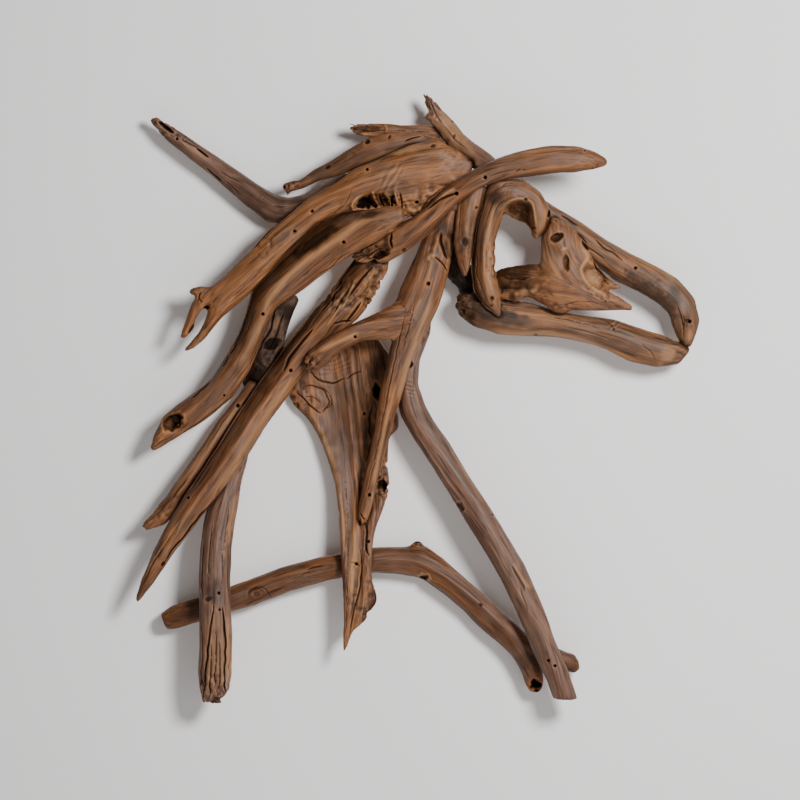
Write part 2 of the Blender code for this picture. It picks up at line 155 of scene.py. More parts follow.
def relax(values, edges, rounds, share=0.5):
    """Move each value towards the mean of its neighbours'."""
    first, second = edges[:, 0], edges[:, 1]
    count = len(values)
    degree = np.maximum(np.bincount(edges.ravel(), minlength=count), 1)
    values = values.reshape(count, -1).copy()
    for _ in range(rounds):
        for k in range(values.shape[1]):
            column = values[:, k]
            total = np.bincount(first, weights=column[second], minlength=count)
            total += np.bincount(second, weights=column[first], minlength=count)
            values[:, k] = column + share * (total / degree - column)
    return values


def smooth_line(points):
    """A grain line through its points, with a point every few millimetres."""
    points = np.array(points, float)
    ends = np.vstack([2 * points[0] - points[1], points, 2 * points[-1] - points[-2]])
    rows = []
    for k in range(1, len(ends) - 2):
        a, b, c, d = ends[k - 1:k + 3]
        steps = max(2, int(np.linalg.norm(c - b) / LINE_STEP))
        for u in np.arange(steps) / steps:
            rows.append(0.5 * (2 * b + (c - a) * u + (2 * a - 5 * b + 4 * c - d) * u ** 2
                               + (3 * b - a - 3 * c + d) * u ** 3))
    rows.append(points[-1])
    return np.array(rows)


def measure_line(flat, line):
    """For each flat point: how far along the line it is, how far beside it, and how far from it."""
    start, run = line[:-1], np.diff(line, axis=0)
    length = np.linalg.norm(run, axis=1)
    before = np.concatenate([[0.0], np.cumsum(length)[:-1]])
    best = np.full(len(flat), FAR)
    along = np.zeros(len(flat))
    beside = np.zeros(len(flat))
    for k in range(len(run)):
        offset = flat - start[k]
        ahead = offset @ run[k] / length[k]
        share = np.clip(ahead, 0.0, length[k])
        # The end segments run on past their ends, so that the grain does too.
        low = -FAR if k == 0 else 0.0
        high = FAR if k == len(run) - 1 else length[k]
        gap = np.linalg.norm(offset - np.outer(share, run[k] / length[k]), axis=1)
        closer = gap < best
        best[closer] = gap[closer]
        along[closer] = before[k] + np.clip(ahead, low, high)[closer]
        side = (offset[:, 0] * run[k, 1] - offset[:, 1] * run[k, 0]) / length[k]
        beside[closer] = side[closer]
    return along, beside, best


def remeshed(piece, voxel):
    """Give the piece an even skin of small faces."""
    modifier = piece.modifiers.new("skin", "REMESH")
    modifier.mode = "VOXEL"
    modifier.voxel_size = voxel
    depsgraph = bpy.context.evaluated_depsgraph_get()
    mesh = bpy.data.meshes.new_from_object(piece.evaluated_get(depsgraph))
    piece.modifiers.clear()
    piece.data = mesh


def read_vectors(collection, name):
    """A vector of each item as an array."""
    flat = np.empty(len(collection) * 3, np.float32)
    collection.foreach_get(name, flat)
    return flat.reshape(-1, 3).astype(float)


def read_edges(mesh):
    """The two vertices of each edge."""
    flat = np.empty(len(mesh.edges) * 2, np.int32)
    mesh.edges.foreach_get("vertices", flat)
    return flat.reshape(-1, 2)


def write_points(mesh, points):
    """Place the mesh's vertices."""
    mesh.vertices.foreach_set("co", points.astype(np.float32).ravel())
    mesh.update()


def rounded(mesh, rounds, crisp):
    """Round off the solid's facets and keep its girth. Crisp spots keep their edges."""
    edges = read_edges(mesh)
    before = read_vectors(mesh.vertices, "co")
    soft = relax(before, edges, rounds)
    write_points(mesh, soft)
    normals = read_vectors(mesh.vertex_normals, "vector")
    lost = relax(np.sum((before - soft) * normals, axis=1), edges, rounds)
    points = soft + normals * lost
    for across, up, reach in crisp:
        gap = np.hypot(before[:, 0] / MM - across, before[:, 2] / MM - up)
        kept = smooth_step(reach, reach * 0.7, gap)[:, None]
        points = before * kept + points * (1.0 - kept)
    write_points(mesh, points)


def refined(mesh, steep):
    """Split the faces beside every steep edge, so that small cuts keep their shape."""
    bm = bmesh.new()
    bm.from_mesh(mesh)
    bm.edges.ensure_lookup_table()
    chosen = set()
    for index in np.flatnonzero(steep):
        for face in bm.edges[index].link_faces:
            chosen.update(face.edges)
    bmesh.ops.subdivide_edges(bm, edges=list(chosen), cuts=1, use_grid_fill=True)
    bm.to_mesh(mesh)
    bm.free()


class Wood:
    """The skin of one branch while it is carved: where each point is, and how it is coloured."""

    def __init__(self, mesh, lines, seed, least=0.0):
        self.mesh = mesh
        self.seed = seed
        # The smallest half width of a cut, so that a coarse skin doesn't miss it
        self.least = least
        self.points = read_vectors(mesh.vertices, "co") / MM
        self.normals = read_vectors(mesh.vertex_normals, "vector")
        self.edges = read_edges(mesh)
        self.across = self.points[:, 0]
        self.up = self.points[:, 2]
        self.out = -self.points[:, 1]
        self.front = smooth_step(0.05, 0.55, -self.normals[:, 1])
        # dark is painted shade for the most part, in holes, cracks, pits, grooves, gaps and shaded
        # flanks, with darker wood in a few patches.
        self.dark = np.zeros(len(self.points))
        self.pale = np.zeros(len(self.points))
        self.stain = np.zeros(len(self.points))
        self.sink = np.zeros(len(self.points))
        self.set_grain(lines)

    def flat(self):
        """Where each point is as seen from the front."""
        return np.stack([self.across, self.up], axis=1)

    def set_grain(self, lines):
        """Straighten the branch along its grain lines: along, beside and behind its core."""
        best = None
        for offset, line in lines:
            along, beside, gap = measure_line(self.flat(), smooth_line(line))
            along = along + offset
            if best is None:
                best, self.along, self.beside = gap, along, beside
                continue
            share = smooth_step(-GRAIN_BLEND, GRAIN_BLEND, best - gap)
            self.along = self.along * (1 - share) + along * share
            self.beside = self.beside * (1 - share) + beside * share
            best = np.minimum(best, gap)
        slices = np.floor((self.along - self.along.min()) / SLICE).astype(int)
        low = np.full(slices.max() + 1, FAR)
        high = np.full(slices.max() + 1, -FAR)
        np.minimum.at(low, slices, self.out)
        np.maximum.at(high, slices, self.out)
        filled = low < high
        centres = self.along.min() + (np.arange(len(low)) + 0.5) * SLICE
        half_way = np.interp(centres, centres[filled], (low + high)[filled] / 2)
        weights = np.full(CORE_SLICES, 1 / CORE_SLICES)
        half_way = np.pad(half_way, CORE_SLICES // 2, mode="edge")
        half_way = np.convolve(half_way, weights, mode="valid")
        middle = np.interp(self.along, centres, half_way)
        self.behind = self.out - middle

    def grain(self, length, width, salt):
        """Noise of a length along the branch and a width in millimetres. The salt keeps one use
        apart from another."""
        spread = np.stack([self.along / length, self.beside / width, self.behind / width], axis=1)
        return noise(spread + salt * 17.3, self.seed + salt)

    def lumps(self, size, salt):
        """Noise of one size in every direction, in millimetres, with a salt as in grain."""
        return noise(self.points / size + salt * 7.7, self.seed + salt)

    def push(self, depth):
        """Sink the front by depth in millimetres. Less than 0 raises it."""
        self.sink += depth * self.front

    def darken(self, amount):
        """Darken the wood where it is lighter than the amount asks. This is mostly painted shade.
        """
        self.dark = np.maximum(self.dark, amount)

    def bleach(self, amount):
        """Make the wood paler where it is less pale than the amount asks."""
        self.pale = np.maximum(self.pale, amount)

    def near(self, across, up, full, reach):
        """1 within the full distance of a spot as seen from the front, and 0 beyond the reach."""
        return smooth_step(reach, full, np.hypot(self.across - across, self.up - up))

    def follow(self, points):
        """For each point: how far along a line, beside it and from it. Last, the line's length."""
        line = smooth_line(points)
        total = np.sum(np.linalg.norm(np.diff(line, axis=0), axis=1))
        return (*measure_line(self.flat(), line), total)

    def hole(self, across, up, radius=4.0, depth=10.0):
        """A round hole, of a sunk screw or a beetle, with painted shade inside it."""
        radius = max(radius, self.least)
        inside = self.near(across, up, radius - 0.8, radius + 0.5)
        self.push(inside * depth)
        self.darken(inside * self.front)

    def crack(self, points, width=4.0, depth=4.0, dark=0.85, wander=1.0):
        """A crack along a line, which narrows to its ends, with painted shade inside it."""
        along, beside, _, total = self.follow(points)
        places = np.stack([along / WANDER_LENGTH, along * 0, along * 0], axis=1)
        shift = noise(places, self.seed + 91) * wander
        ends = np.clip(np.minimum(along, total - along) / (0.22 * total), 0.0, 1.0) ** 0.6
        beyond = np.maximum(np.maximum(-along, along - total), 0.0)
        half = np.maximum(width * 0.5 * ends, max(self.least, 0.01))
        inside = smooth_step(1.0, 0.15, np.hypot(beside + shift, beyond) / half) * (ends > 0)
        self.push(inside * depth)
        self.darken(inside * dark * self.front)

    def ridge(self, points, height, width, pale=0.5):
        """A raised crest along a line."""
        along, _, gap, total = self.follow(points)
        ends = smooth_step(0.0, 0.2 * total, np.minimum(along, total - along))
        tent = np.clip(1.0 - gap / width, 0.0, 1.0) ** 1.3 * ends
        self.push(-height * tent)
        self.bleach(tent * pale)

    def slope(self, points, fall, reach, side=1.0, dark=0.0):
        """Let the wood fall away on one side of a line, up to a reach, with painted shade on the
        falling flank.
        """
        along, beside, _, total = self.follow(points)
        ends = smooth_step(-0.05 * total, 0.15 * total, np.minimum(along, total - along))
        past = np.clip(beside * side, 0.0, reach) * ends
        self.push(past * fall)
        # Painted shade on the flank that falls away.
        self.darken(smooth_step(0.0, reach * 0.6, past) * dark)

    def oval(self, across, up, long, short, turn):
        """How far out each point is in a turned oval: 0 in its middle, 1 on its rim."""
        c, s = cos(radians(turn)), sin(radians(turn))
        x, z = self.across - across, self.up - up
        return np.hypot((x * c + z * s) / (long / 2), (z * c - x * s) / (short / 2))

    def hollow(self, across, up, long, short, turn=0.0, depth=6.0, dark=0.5, rim=0.0, rough=0.15):
        """A sunk oval with steep sides, with painted shade inside it. Less than 0 depth makes a
        knob.
        """
        place = self.oval(across, up, long, short, turn) + rough * self.lumps(7.0, 31)
        inside = smooth_step(1.05, 0.55, place)
        self.push(inside * depth)
        if rim:
            crest = np.exp(-((place - 1.1) / 0.2) ** 2)
            self.push(-rim * crest)
            self.bleach(min(0.25 * rim, 0.5) * crest)
        self.darken(inside * dark * self.front)

    def patch(self, across, up, long, short, turn=0.0, stain=0.0, pale=0.0, dark=0.0):
        """A soft-edged patch of colour."""
        place = self.oval(across, up, long, short, turn) + 0.3 * self.lumps(14.0, 37)
        inside = smooth_step(1.15, 0.35, place)
        self.stain = np.maximum(self.stain, inside * stain)
        self.bleach(inside * pale)
        self.darken(inside * dark)

    def rough(self, across, up, long, short, turn=0.0, depth=2.0, size=8.0, dark=0.3):
        """A broken, pitted patch, with painted shade in its pits."""
        place = self.oval(across, up, long, short, turn) + 0.3 * self.lumps(18.0, 40)
        inside = smooth_step(1.15, 0.5, place)
        pits = self.lumps(size, 41) + 0.5 * self.lumps(size / 2, 43)
        self.push(inside * depth * pits)
        self.darken(inside * dark * smooth_step(0.0, 0.9, pits))

    def chip(self, across, up, reach, depth, size=8.0):
        """Wear an edge away in ragged bites, so that its outline is torn too."""
        bites = np.clip(self.lumps(size, 71) + 0.1, 0.0, 0.8)
        self.weathered += self.near(across, up, reach * 0.4, reach) * depth * bites

    def rings(self, across, up, long, short, turn=0.0, spacing=7.0, depth=0.8):
        """Growth lines round a knot, broken up by noise."""
        place = self.oval(across, up, long, short, turn)
        inside = smooth_step(1.1, 0.8, place)
        wander = 3.2 * self.lumps(34.0, 47) + 1.3 * self.lumps(13.0, 48)
        bands = np.sin(place * min(long, short) / spacing * pi + wander)
        strength = inside * smooth_step(-0.5, 0.5, self.lumps(26.0, 49))
        self.push(strength * depth * bands)
        self.darken(strength * 0.35 * smooth_step(0.6, 1.0, bands))

    def ripple(self, across, up, long, short, turn, spacing, depth):
        """Wavy lines across the grain's run, as wood swells beside a wound."""
        place = self.oval(across, up, long, short, turn)
        inside = smooth_step(1.0, 0.4, place)
        c, s = cos(radians(turn)), sin(radians(turn))
        offset = (self.up - up) * c - (self.across - across) * s
        wander = 4.0 * self.lumps(30.0, 53) + 1.2 * self.lumps(11.0, 54)
        bands = np.sin(offset / spacing * 2 * pi + wander)
        strength = inside * smooth_step(-0.6, 0.4, self.lumps(24.0, 55))
        self.push(strength * depth * bands)
        self.bleach(strength * 0.3 * smooth_step(0.2, -0.9, bands))

    def fray(self, across, up, reach, towards, length, size=6.0):
        """Draw an end out into fibres: every strand ends at its own length."""
        inside = self.near(across, up, reach * 0.3, reach)
        strands = noise(np.stack([self.beside / size, self.behind / size, self.along * 0], axis=1),
                        self.seed + 61)
        c, s = cos(radians(towards)), sin(radians(towards))
        shift = inside * length * strands
        self.points[:, 0] += shift * c
        self.points[:, 2] += shift * s

    def weather(self, swell, groove, fibre):
        """The long swells, grooves and fibres that water and sun leave all along a branch."""
        swells = self.grain(150.0, 26.0, 1) * swell
        swells += (np.abs(self.grain(230.0, 15.0, 5)) - 0.35) * 2.0 * swell
        ridged = np.abs(self.grain(95.0, 9.0, 2))
        grooves = (smooth_step(0.28, 0.0, ridged) - 0.2) * groove
        strong = smooth_step(-0.3, 0.5, self.grain(130.0, 34.0, 3))
        fibres = self.grain(38.0, 3.4, 4) * fibre
        # The back lay against the wall and kept its shape.
        calm = smooth_step(0.95, 0.6, self.normals[:, 1])
        dents = self.lumps(28.0, 6) * 0.6 * swell
        self.weathered = (swells + grooves * strong + fibres + dents) * calm
        # Deep grooves get painted shade.
        self.darken(0.55 * smooth_step(0.5, 1.0, grooves * strong / max(groove, 0.01)))

    def paint_crevice_shade(self, node):
        """Paint shade on the wood where another branch lies against it."""
        bm = bmesh.new()
        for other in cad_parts:
            if other != node:
                bm.from_mesh(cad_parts[other].data)
        tree = BVHTree.FromBMesh(bm)
        bm.free()
        reach = CREVICE_REACH * MM
        gaps = np.full(len(self.points), CREVICE_REACH)
        for index, point in enumerate(self.points * MM):
            found = tree.find_nearest(Vector(point), reach)
            if found[0] is not None:
                gaps[index] = found[3] / MM
        self.darken(smooth_step(CREVICE_REACH, 1.0, gaps) * CREVICE_SHADE)

    def steep(self):
        """Which edges have a sharp change of height or of colour."""
        first, second = self.edges[:, 0], self.edges[:, 1]
        rise = np.abs(self.sink[first] - self.sink[second])
        shade = np.abs(self.dark[first] - self.dark[second])
        return (rise > STEEP_RISE) | (shade > STEEP_SHADE)

    def finish(self):
        """Place the points and keep the colours with them."""
        points = self.points.copy()
        points -= self.normals * self.weathered[:, None]
        points[:, 1] += self.sink
        low, high = np.array(CAD_LOW) / MM, np.array(CAD_HIGH) / MM
        points = np.clip(points, low, high)
        write_points(self.mesh, points * MM)
        height = -self.sink - self.weathered
        fine = height - relax(height, self.edges, FINE_ROUNDS)[:, 0]
        broad = height - relax(height, self.edges, BROAD_ROUNDS)[:, 0]
        # Crests go paler with wear, and grooves get painted shade.
        worn = np.clip(fine / FINE_CREST, -1.0, 1.0) * CREST_SHARE
        worn += np.clip(broad / BROAD_CREST, -1.0, 1.0) * CREST_SHARE
        store = {"dark": self.dark, "pale": self.pale, "stain": self.stain, "worn": worn}
        for name, values in store.items():
            layer = self.mesh.attributes.new(name, "FLOAT", "POINT")
            layer.data.foreach_set("value", np.clip(values, -1.0, 1.0).astype(np.float32))
        grain = np.stack([self.along, self.beside, self.behind], axis=1) * MM
        layer = self.mesh.attributes.new("grain", "FLOAT_VECTOR", "POINT")
        layer.data.foreach_set("vector", grain.astype(np.float32).ravel())


def make_piece(node, wood, slot, lines, carve, seed, rounds, crisp, weather):
    """Build one finished branch from its solid.

    It is carved twice. The draft shows where its skin has to be finer.
    """
    bm = bmesh.new()
    bm.from_mesh(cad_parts[node].data)
    bmesh.ops.remove_doubles(bm, verts=bm.verts, dist=MERGE)
    mesh = bpy.data.meshes.new(node + "_wood")
    bm.to_mesh(mesh)
    bm.free()
    piece = bpy.data.objects.new(node + "_wood", mesh)
    bpy.context.scene.collection.objects.link(piece)
    remeshed(piece, ROUNDING_VOXEL)
    rounded(piece.data, rounds, crisp)
    remeshed(piece, CARVING_VOXEL)
    uneven = read_vectors(piece.data.vertices, "co")
    write_points(piece.data, relax(uneven, read_edges(piece.data), 2))
    draft = Wood(piece.data, lines, seed, least=CARVING_VOXEL / MM)
    draft.weather(*weather)
    carve(draft)
    refined(piece.data, draft.steep())
    skin = Wood(piece.data, lines, seed)
    skin.weather(*weather)
    carve(skin)
    skin.paint_crevice_shade(node)
    skin.finish()
    piece.data.shade_smooth()
    piece.data.materials.clear()
    piece.data.materials.append(bpy.data.materials[wood])
    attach(piece, "root")
    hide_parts(node)
    return piece


def carve_forelock(skin):
    """The brow branch: a split at its screws and a broken, hollow left end."""
    skin.slope([(86, 298), (82, 278), (86, 256)], 0.55, 14, 1, 0.35)
    skin.rough(44, 256, 60, 40, 20, 3.5, 8, 0.6)
    skin.hollow(60, 248, 44, 18, 20, 9, 0.9)
    skin.crack([(14, 236), (36, 246), (60, 260)], 5, 5, 0.8, 1.8)
    skin.crack([(4, 248), (28, 260), (52, 274)], 4, 4, 0.7, 1.8)
    skin.fray(14, 242, 34, 200, 11, 6)
    skin.chip(32, 238, 44, 9)
    skin.ridge([(16, 256), (44, 266), (72, 280)], 3, 8)
    skin.crack([(84, 292), (80, 276), (84, 260)], 7, 6)
    skin.ridge([(212, 380), (192, 372), (168, 352)], 3.5, 6, 0.9)
    skin.crack([(216, 372), (196, 366), (176, 356), (154, 336)], 6, 7)
    skin.hole(269, 402, 3.4)
    skin.hole(212, 370, 3.7)
    skin.hollow(467, 456, 13, 10, 0, -1.5, 0.1)
    skin.hole(467, 455, 1.8, 3)
    skin.crack([(328, 412), (338, 417), (350, 416)], 3, 2.5, 0.7)
    skin.hollow(108, 258, 12, 9, 30, 3, 0.6)
    skin.crack([(140, 284), (172, 316), (204, 350)], 2.5, 1.5, 0.4)
    skin.patch(108, 316, 60, 20, 30, dark=0.5)
    skin.slope([(84, 260), (160, 312), (240, 380), (340, 412), (440, 420)], 0.3, 14, 1, 0.2)


def carve_plank(skin):
    """The skull plate: a ragged wound with curled edges, and a flake along its back."""
    skin.ripple(84, 400, 90, 60, 60, 13, 0.4)
    skin.patch(106, 394, 26, 12, -10, stain=0.7)
    skin.hollow(28, 352, 34, 25, 15, 18, 1, rough=0.3)
    skin.hollow(72, 354, 50, 21, 10, 9, 0.5, rough=0.5)
    skin.ridge([(34, 370), (14, 360), (4, 346), (14, 332), (50, 334), (80, 336)], 5.5, 5.5, 1)
    skin.crack([(38, 368), (42, 354), (52, 340)], 7, 9, 1, 2)
    skin.ridge([(44, 376), (48, 362), (58, 346)], 9, 5, 0.8)
    skin.crack([(58, 370), (64, 358), (68, 342)], 4.5, 8, 1, 2)
    skin.ridge([(66, 372), (76, 364), (78, 350)], 8, 6, 0.7)
    skin.crack([(84, 368), (86, 354), (82, 340)], 7, 8, 1, 2)
    skin.ridge([(88, 378), (92, 362), (96, 344)], 7, 5, 0.6)
    skin.crack([(100, 372), (104, 354), (102, 338)], 5, 6)
    skin.hole(133.4, 352.6, 3.4)
    skin.hole(34.6, 418.4, 2.7)
    skin.hole(-110, 296, 2.9)
    skin.hole(-75, 336, 2.4)
    skin.hollow(-75, 334, 13, 9, 20, 1.2, 0.4)
    skin.hollow(-110, 294, 15, 11, 30, 1.2, 0.35)
    skin.hollow(166, 465, 14, 8, 10, 1.5, 0.7)
    skin.slope([(194, 408), (212, 440), (224, 460)], 0.22, 22, 1)
    skin.patch(208, 428, 30, 22, 50, stain=0.35)
    skin.crack([(140, 334), (148, 348), (160, 362), (182, 380)], 4, 4, 0.7)
    skin.ridge([(108, 348), (122, 336), (136, 338)], 3, 6)
    skin.crack([(-118, 334), (-148, 308), (-176, 278), (-200, 256)], 5, 6)
    skin.slope([(-116, 338), (-148, 312), (-176, 282), (-202, 260)], 0.5, 12, 1, 0.3)
    skin.crack([(-48, 316), (-10, 350), (4, 380)], 3, 1.6, 0.3)
    skin.hollow(-286, 144, 14, 8, 15, 8, 0.95)
    skin.patch(-240, 220, 120, 26, 42, dark=0.2)
    skin.hollow(-314, 102, 26, 9, 55, 6, 0.75)
    skin.hollow(-310, 172, 17, 14, 0, -2, 0.3)
    skin.crack([(-296, 176), (-300, 164), (-294, 154)], 4, 3, 0.7)
    skin.patch(100, 456, 120, 20, 10, pale=0.5)
    skin.patch(-324, 80, 16, 34, 40, dark=0.6)
    skin.chip(160, 350, 50, 5)
    skin.chip(112, 334, 30, 6, 6)
    skin.chip(-176, 280, 50, 2.5)


def carve_strip(skin):
    """The strip along the top of the skull: frayed and full of beetle holes."""
    skin.hole(-131, 384, 3.2, 7)
    skin.hollow(35, 474, 13, 11, 40, 5, 0.85)
    skin.hollow(79, 484, 11, 7, 60, 2, 0.7)
    skin.hollow(-44, 424, 14, 8, 25, 3, 0.8)
    skin.crack([(108, 476), (124, 482), (142, 486)], 4, 4)
    skin.rough(-116, 384, 36, 22, 20, 2.5, 5, 0.6)
    skin.hole(-86, 408, 2.4, 5)
    skin.rough(10, 458, 60, 24, 35, 0.9, 7, 0.4)
    skin.patch(-30, 426, 240, 80, 30, stain=0.3, dark=0.35)


def carve_crown(skin):
    """The splinter at the crown: a dark, leaf-shaped break at its left end."""
    skin.hollow(36, 501, 58, 15, 0, 3, 0.65)
    skin.rough(20, 504, 50, 30, 0, 2, 6, 0.6)
    skin.ridge([(68, 512), (74, 500), (70, 492)], 3, 5, 0.4)
    skin.fray(8, 506, 36, 180, 13, 3.5)
    skin.chip(12, 506, 30, 6, 5)
    skin.crack([(32, 506), (56, 498), (72, 500)], 3, 2, 0.6)
    skin.crack([(84, 498), (120, 496), (160, 494)], 3, 2, 0.5)


def carve_front_ear(skin):
    """The torn front ear."""
    skin.fray(152, 566, 24, 120, 8, 4)
    skin.chip(158, 540, 40, 6, 6)
    skin.rough(162, 544, 34, 60, 20, 2.4, 6, 0.25)
    skin.hole(205.4, 516.6, 2.4, 5)
    skin.hollow(207, 485.2, 12, 8, 60, 2.5, 0.6)
    skin.crack([(160, 558), (168, 536), (182, 512)], 4, 3, 0.7)
    skin.crack([(186, 508), (210, 478), (236, 456)], 3, 1.6, 0.45)
    skin.ridge([(172, 532), (198, 498), (228, 466), (260, 444)], 2, 8, 0.6)
    skin.patch(204, 490, 150, 60, -48, pale=0.6)


def carve_rear_ear(skin):
    """The long rear ear: slots, beetle holes and a pitted flank."""
    skin.fray(-392, 520, 12, 150, 5, 4)
    skin.chip(-370, 506, 36, 4, 6)
    skin.crack([(-382, 516), (-372, 508), (-360, 498), (-352, 492)], 10, 10, 1, 0.5)
    skin.hole(-345, 481, 2.7, 7)
    skin.crack([(-306, 463), (-294, 453), (-282, 443)], 6, 8, 1, 0.5)
    skin.crack([(-336, 480), (-318, 470), (-302, 462)], 5, 2.5, 0.6)
    skin.crack([(-286, 424), (-272, 410), (-256, 398)], 6, 3.5, 0.75)
    skin.crack([(-258, 416), (-240, 404), (-218, 394)], 4, 2.2, 0.65)
    skin.crack([(-252, 400), (-236, 386), (-220, 368)], 4, 2.2, 0.6)
    skin.rough(-344, 486, 60, 22, -38, 1.5, 5, 0.5)
    skin.rough(-176, 362, 30, 16, -30, 1.2, 5, 0.6)
    skin.slope([(-100, 380), (-176, 336), (-184, 316)], 0.2, 20, -1, 0.25)
    skin.patch(-176, 364, 220, 110, -36, dark=0.45)


def carve_lock_upper(skin):
    """The second lock: a lit crest with a flank above it painted dark as shade, and a knot hole at
    its foot.
    """
    skin.slope([(104, 338), (60, 334), (30, 326), (-10, 302), (-50, 274), (-90, 246), (-128, 210),
                (-160, 178), (-182, 144), (-198, 100), (-228, 56), (-256, 12)], 0.75, 34, 1, 0.45)
    # Painted shadow in the gap under the plank.
    skin.patch(-64, 280, 170, 30, 38, dark=0.85)
    skin.patch(44, 328, 70, 18, 14, dark=0.8)
    skin.patch(-220, 80, 40, 70, -28, dark=0.5)
    skin.ridge([(96, 332), (32, 318), (-24, 280), (-100, 226), (-156, 168), (-176, 116),
                (-204, 60), (-244, 0)], 2.5, 12, 0.9)
    skin.hole(-173, 131, 3.5)
    skin.hole(-12, 274, 2.9)
    skin.hollow(-12, 272, 13, 9, 30, 1.2, 0.4)
    skin.crack([(-164, 98), (-170, 82), (-176, 68)], 8, 7)
    skin.crack([(-184, 64), (-192, 46), (-200, 28)], 4, 3, 0.6)
    skin.crack([(-226, 74), (-234, 60), (-240, 50)], 6, 4)
    skin.crack([(-242, 48), (-248, 38), (-254, 26)], 6, 4)
    skin.crack([(-278, 0), (-290, -12), (-304, -26), (-318, -36)], 7, 4, 0.8)
    skin.crack([(-64, 208), (-36, 226), (-12, 248)], 3.5, 2, 0.6)
    skin.crack([(-216, 70), (-200, 110), (-188, 140)], 3, 2, 0.5)
    skin.hollow(-354, -85, 46, 31, 33, 16, 0.55, 0.8, 0.3)
    skin.hollow(-345, -78, 20, 20, 0, 12, 1)
    skin.hole(-250, -31, 2.5, 4)
    skin.hollow(-250, -31, 13, 8, 40, -1, 0.2)
    skin.crack([(-388, -134), (-374, -122), (-358, -114)], 3, 2, 0.5)
    skin.patch(-290, -30, 60, 26, 40, stain=0.35, pale=0.15)
    skin.patch(-206, 100, 90, 190, -20, dark=0.35)
    skin.fray(-394, -136, 12, 230, 4, 4)


def carve_rear_block(skin):
    """The block behind the locks: dark wood painted near black for the shade it lies in, with one
    worn brown patch.
    """
    skin.patch(-150, 110, 22, 40, -15, pale=0.25)
    skin.patch(-184, 16, 60, 60, dark=0.85)
    skin.patch(-124, 136, 30, 50, dark=0.7)
    skin.rough(-152, 100, 80, 110, 0, 3, 14, 0.6)
    skin.hollow(-156, 72, 40, 26, 20, 9, 0.9)
    skin.crack([(-132, 136), (-144, 100), (-160, 60)], 5, 4, 0.7)
    skin.patch(-196, 0, 40, 40, dark=0.9)
    skin.rough(-168, 36, 50, 36, 20, 4, 9, 0.7)
    skin.crack([(-148, 148), (-160, 100), (-184, 56)], 6, 6, 0.8, 1.8)


def carve_lock_long(skin):
    """The longest lock: a flaky head, one long lit flank and a split foot."""
    skin.slope([(44, 232), (0, 188), (-56, 120), (-100, 68), (-148, 4)], 0.6, 26, 1, 0.5)
    # Painted shade at its head.
    skin.patch(44, 232, 50, 26, 20, dark=0.7)
    skin.patch(-176, -12, 50, 40, 50, dark=0.5)
    skin.slope([(-100, 56), (-148, -16), (-200, -88), (-252, -168), (-308, -252)], 0.4, 26, 1, 0.2)
    skin.rough(8, 172, 120, 56, 48, 2.2, 9, 0.5)
    skin.chip(68, 208, 44, 11, 10)
    skin.chip(52, 164, 36, 10, 9)
    skin.chip(-40, 176, 60, 6, 10)
    skin.crack([(42, 224), (20, 194), (-6, 158)], 6, 6, 0.85, 1.8)
    skin.crack([(-12, 196), (-34, 164), (-58, 130)], 5, 5, 0.8, 1.8)
    skin.ridge([(12, 202), (0, 174), (-18, 138)], 4, 5, 1)
    skin.ridge([(44, 210), (24, 180), (4, 158)], 3, 5, 0.9)
    skin.ridge([(-8, 166), (-26, 136), (-48, 104)], 3, 5, 0.7)
    skin.ridge([(52, 228), (40, 196), (44, 168)], 2.5, 6, 0.6)
    skin.crack([(22, 154), (10, 136), (-8, 112)], 6, 6)
    skin.crack([(4, 192), (-14, 162), (-34, 128)], 4, 4, 0.7)
    skin.crack([(32, 194), (16, 168), (-2, 146)], 3.5, 3, 0.6)
    skin.crack([(-28, 176), (-56, 136), (-84, 100)], 4, 3, 0.6)
    skin.crack([(-74, 102), (-96, 74), (-122, 40), (-132, 16)], 9, 7, 0.8)
    skin.crack([(-34, 110), (-14, 116), (4, 118)], 5, 5)
    skin.hole(-117.6, 18.6, 3.4)
    skin.crack([(-248, -212), (-274, -246), (-304, -278), (-332, -314), (-356, -342), (-370, -366)],
               5.5, 7)
    skin.crack([(-288, -260), (-312, -296), (-336, -330)], 3, 3, 0.6)
    skin.crack([(-374, -336), (-396, -376), (-410, -408)], 3.5, 3, 0.6)
    skin.crack([(-336, -280), (-358, -316), (-380, -352)], 3, 2, 0.5)
    skin.hole(-321.4, -234.6, 2.8, 5)
    skin.ridge([(-92, 36), (-140, -36), (-188, -104), (-236, -180), (-284, -244)], 2, 14, 0.6)
    skin.hollow(-372, -366, 14, 9, 60, 4, 0.8)
    skin.fray(-422, -438, 12, 240, 5, 4)


def carve_lock_lower(skin):
    """The lowest lock."""
    skin.slope([(-208, -36), (-256, -104), (-312, -184), (-360, -248)], 0.45, 20, -1, 0.35)
    skin.ridge([(-212, -32), (-260, -100), (-316, -176), (-368, -240)], 2, 10, 0.6)
    skin.hole(-224, -51, 3.7)
    skin.hollow(-205, -49, 13, 10, 40, 5, 0.9)
    skin.crack([(-196, -24), (-204, -38), (-214, -52)], 5, 4, 0.8)
    skin.crack([(-240, -60), (-272, -112), (-304, -160)], 4, 2.2, 0.5)
    skin.crack([(-324, -196), (-340, -218), (-356, -238)], 4, 2.5, 0.6)
    skin.fray(-408, -292, 12, 220, 4, 4)
    skin.chip(-380, -276, 44, 2.5)


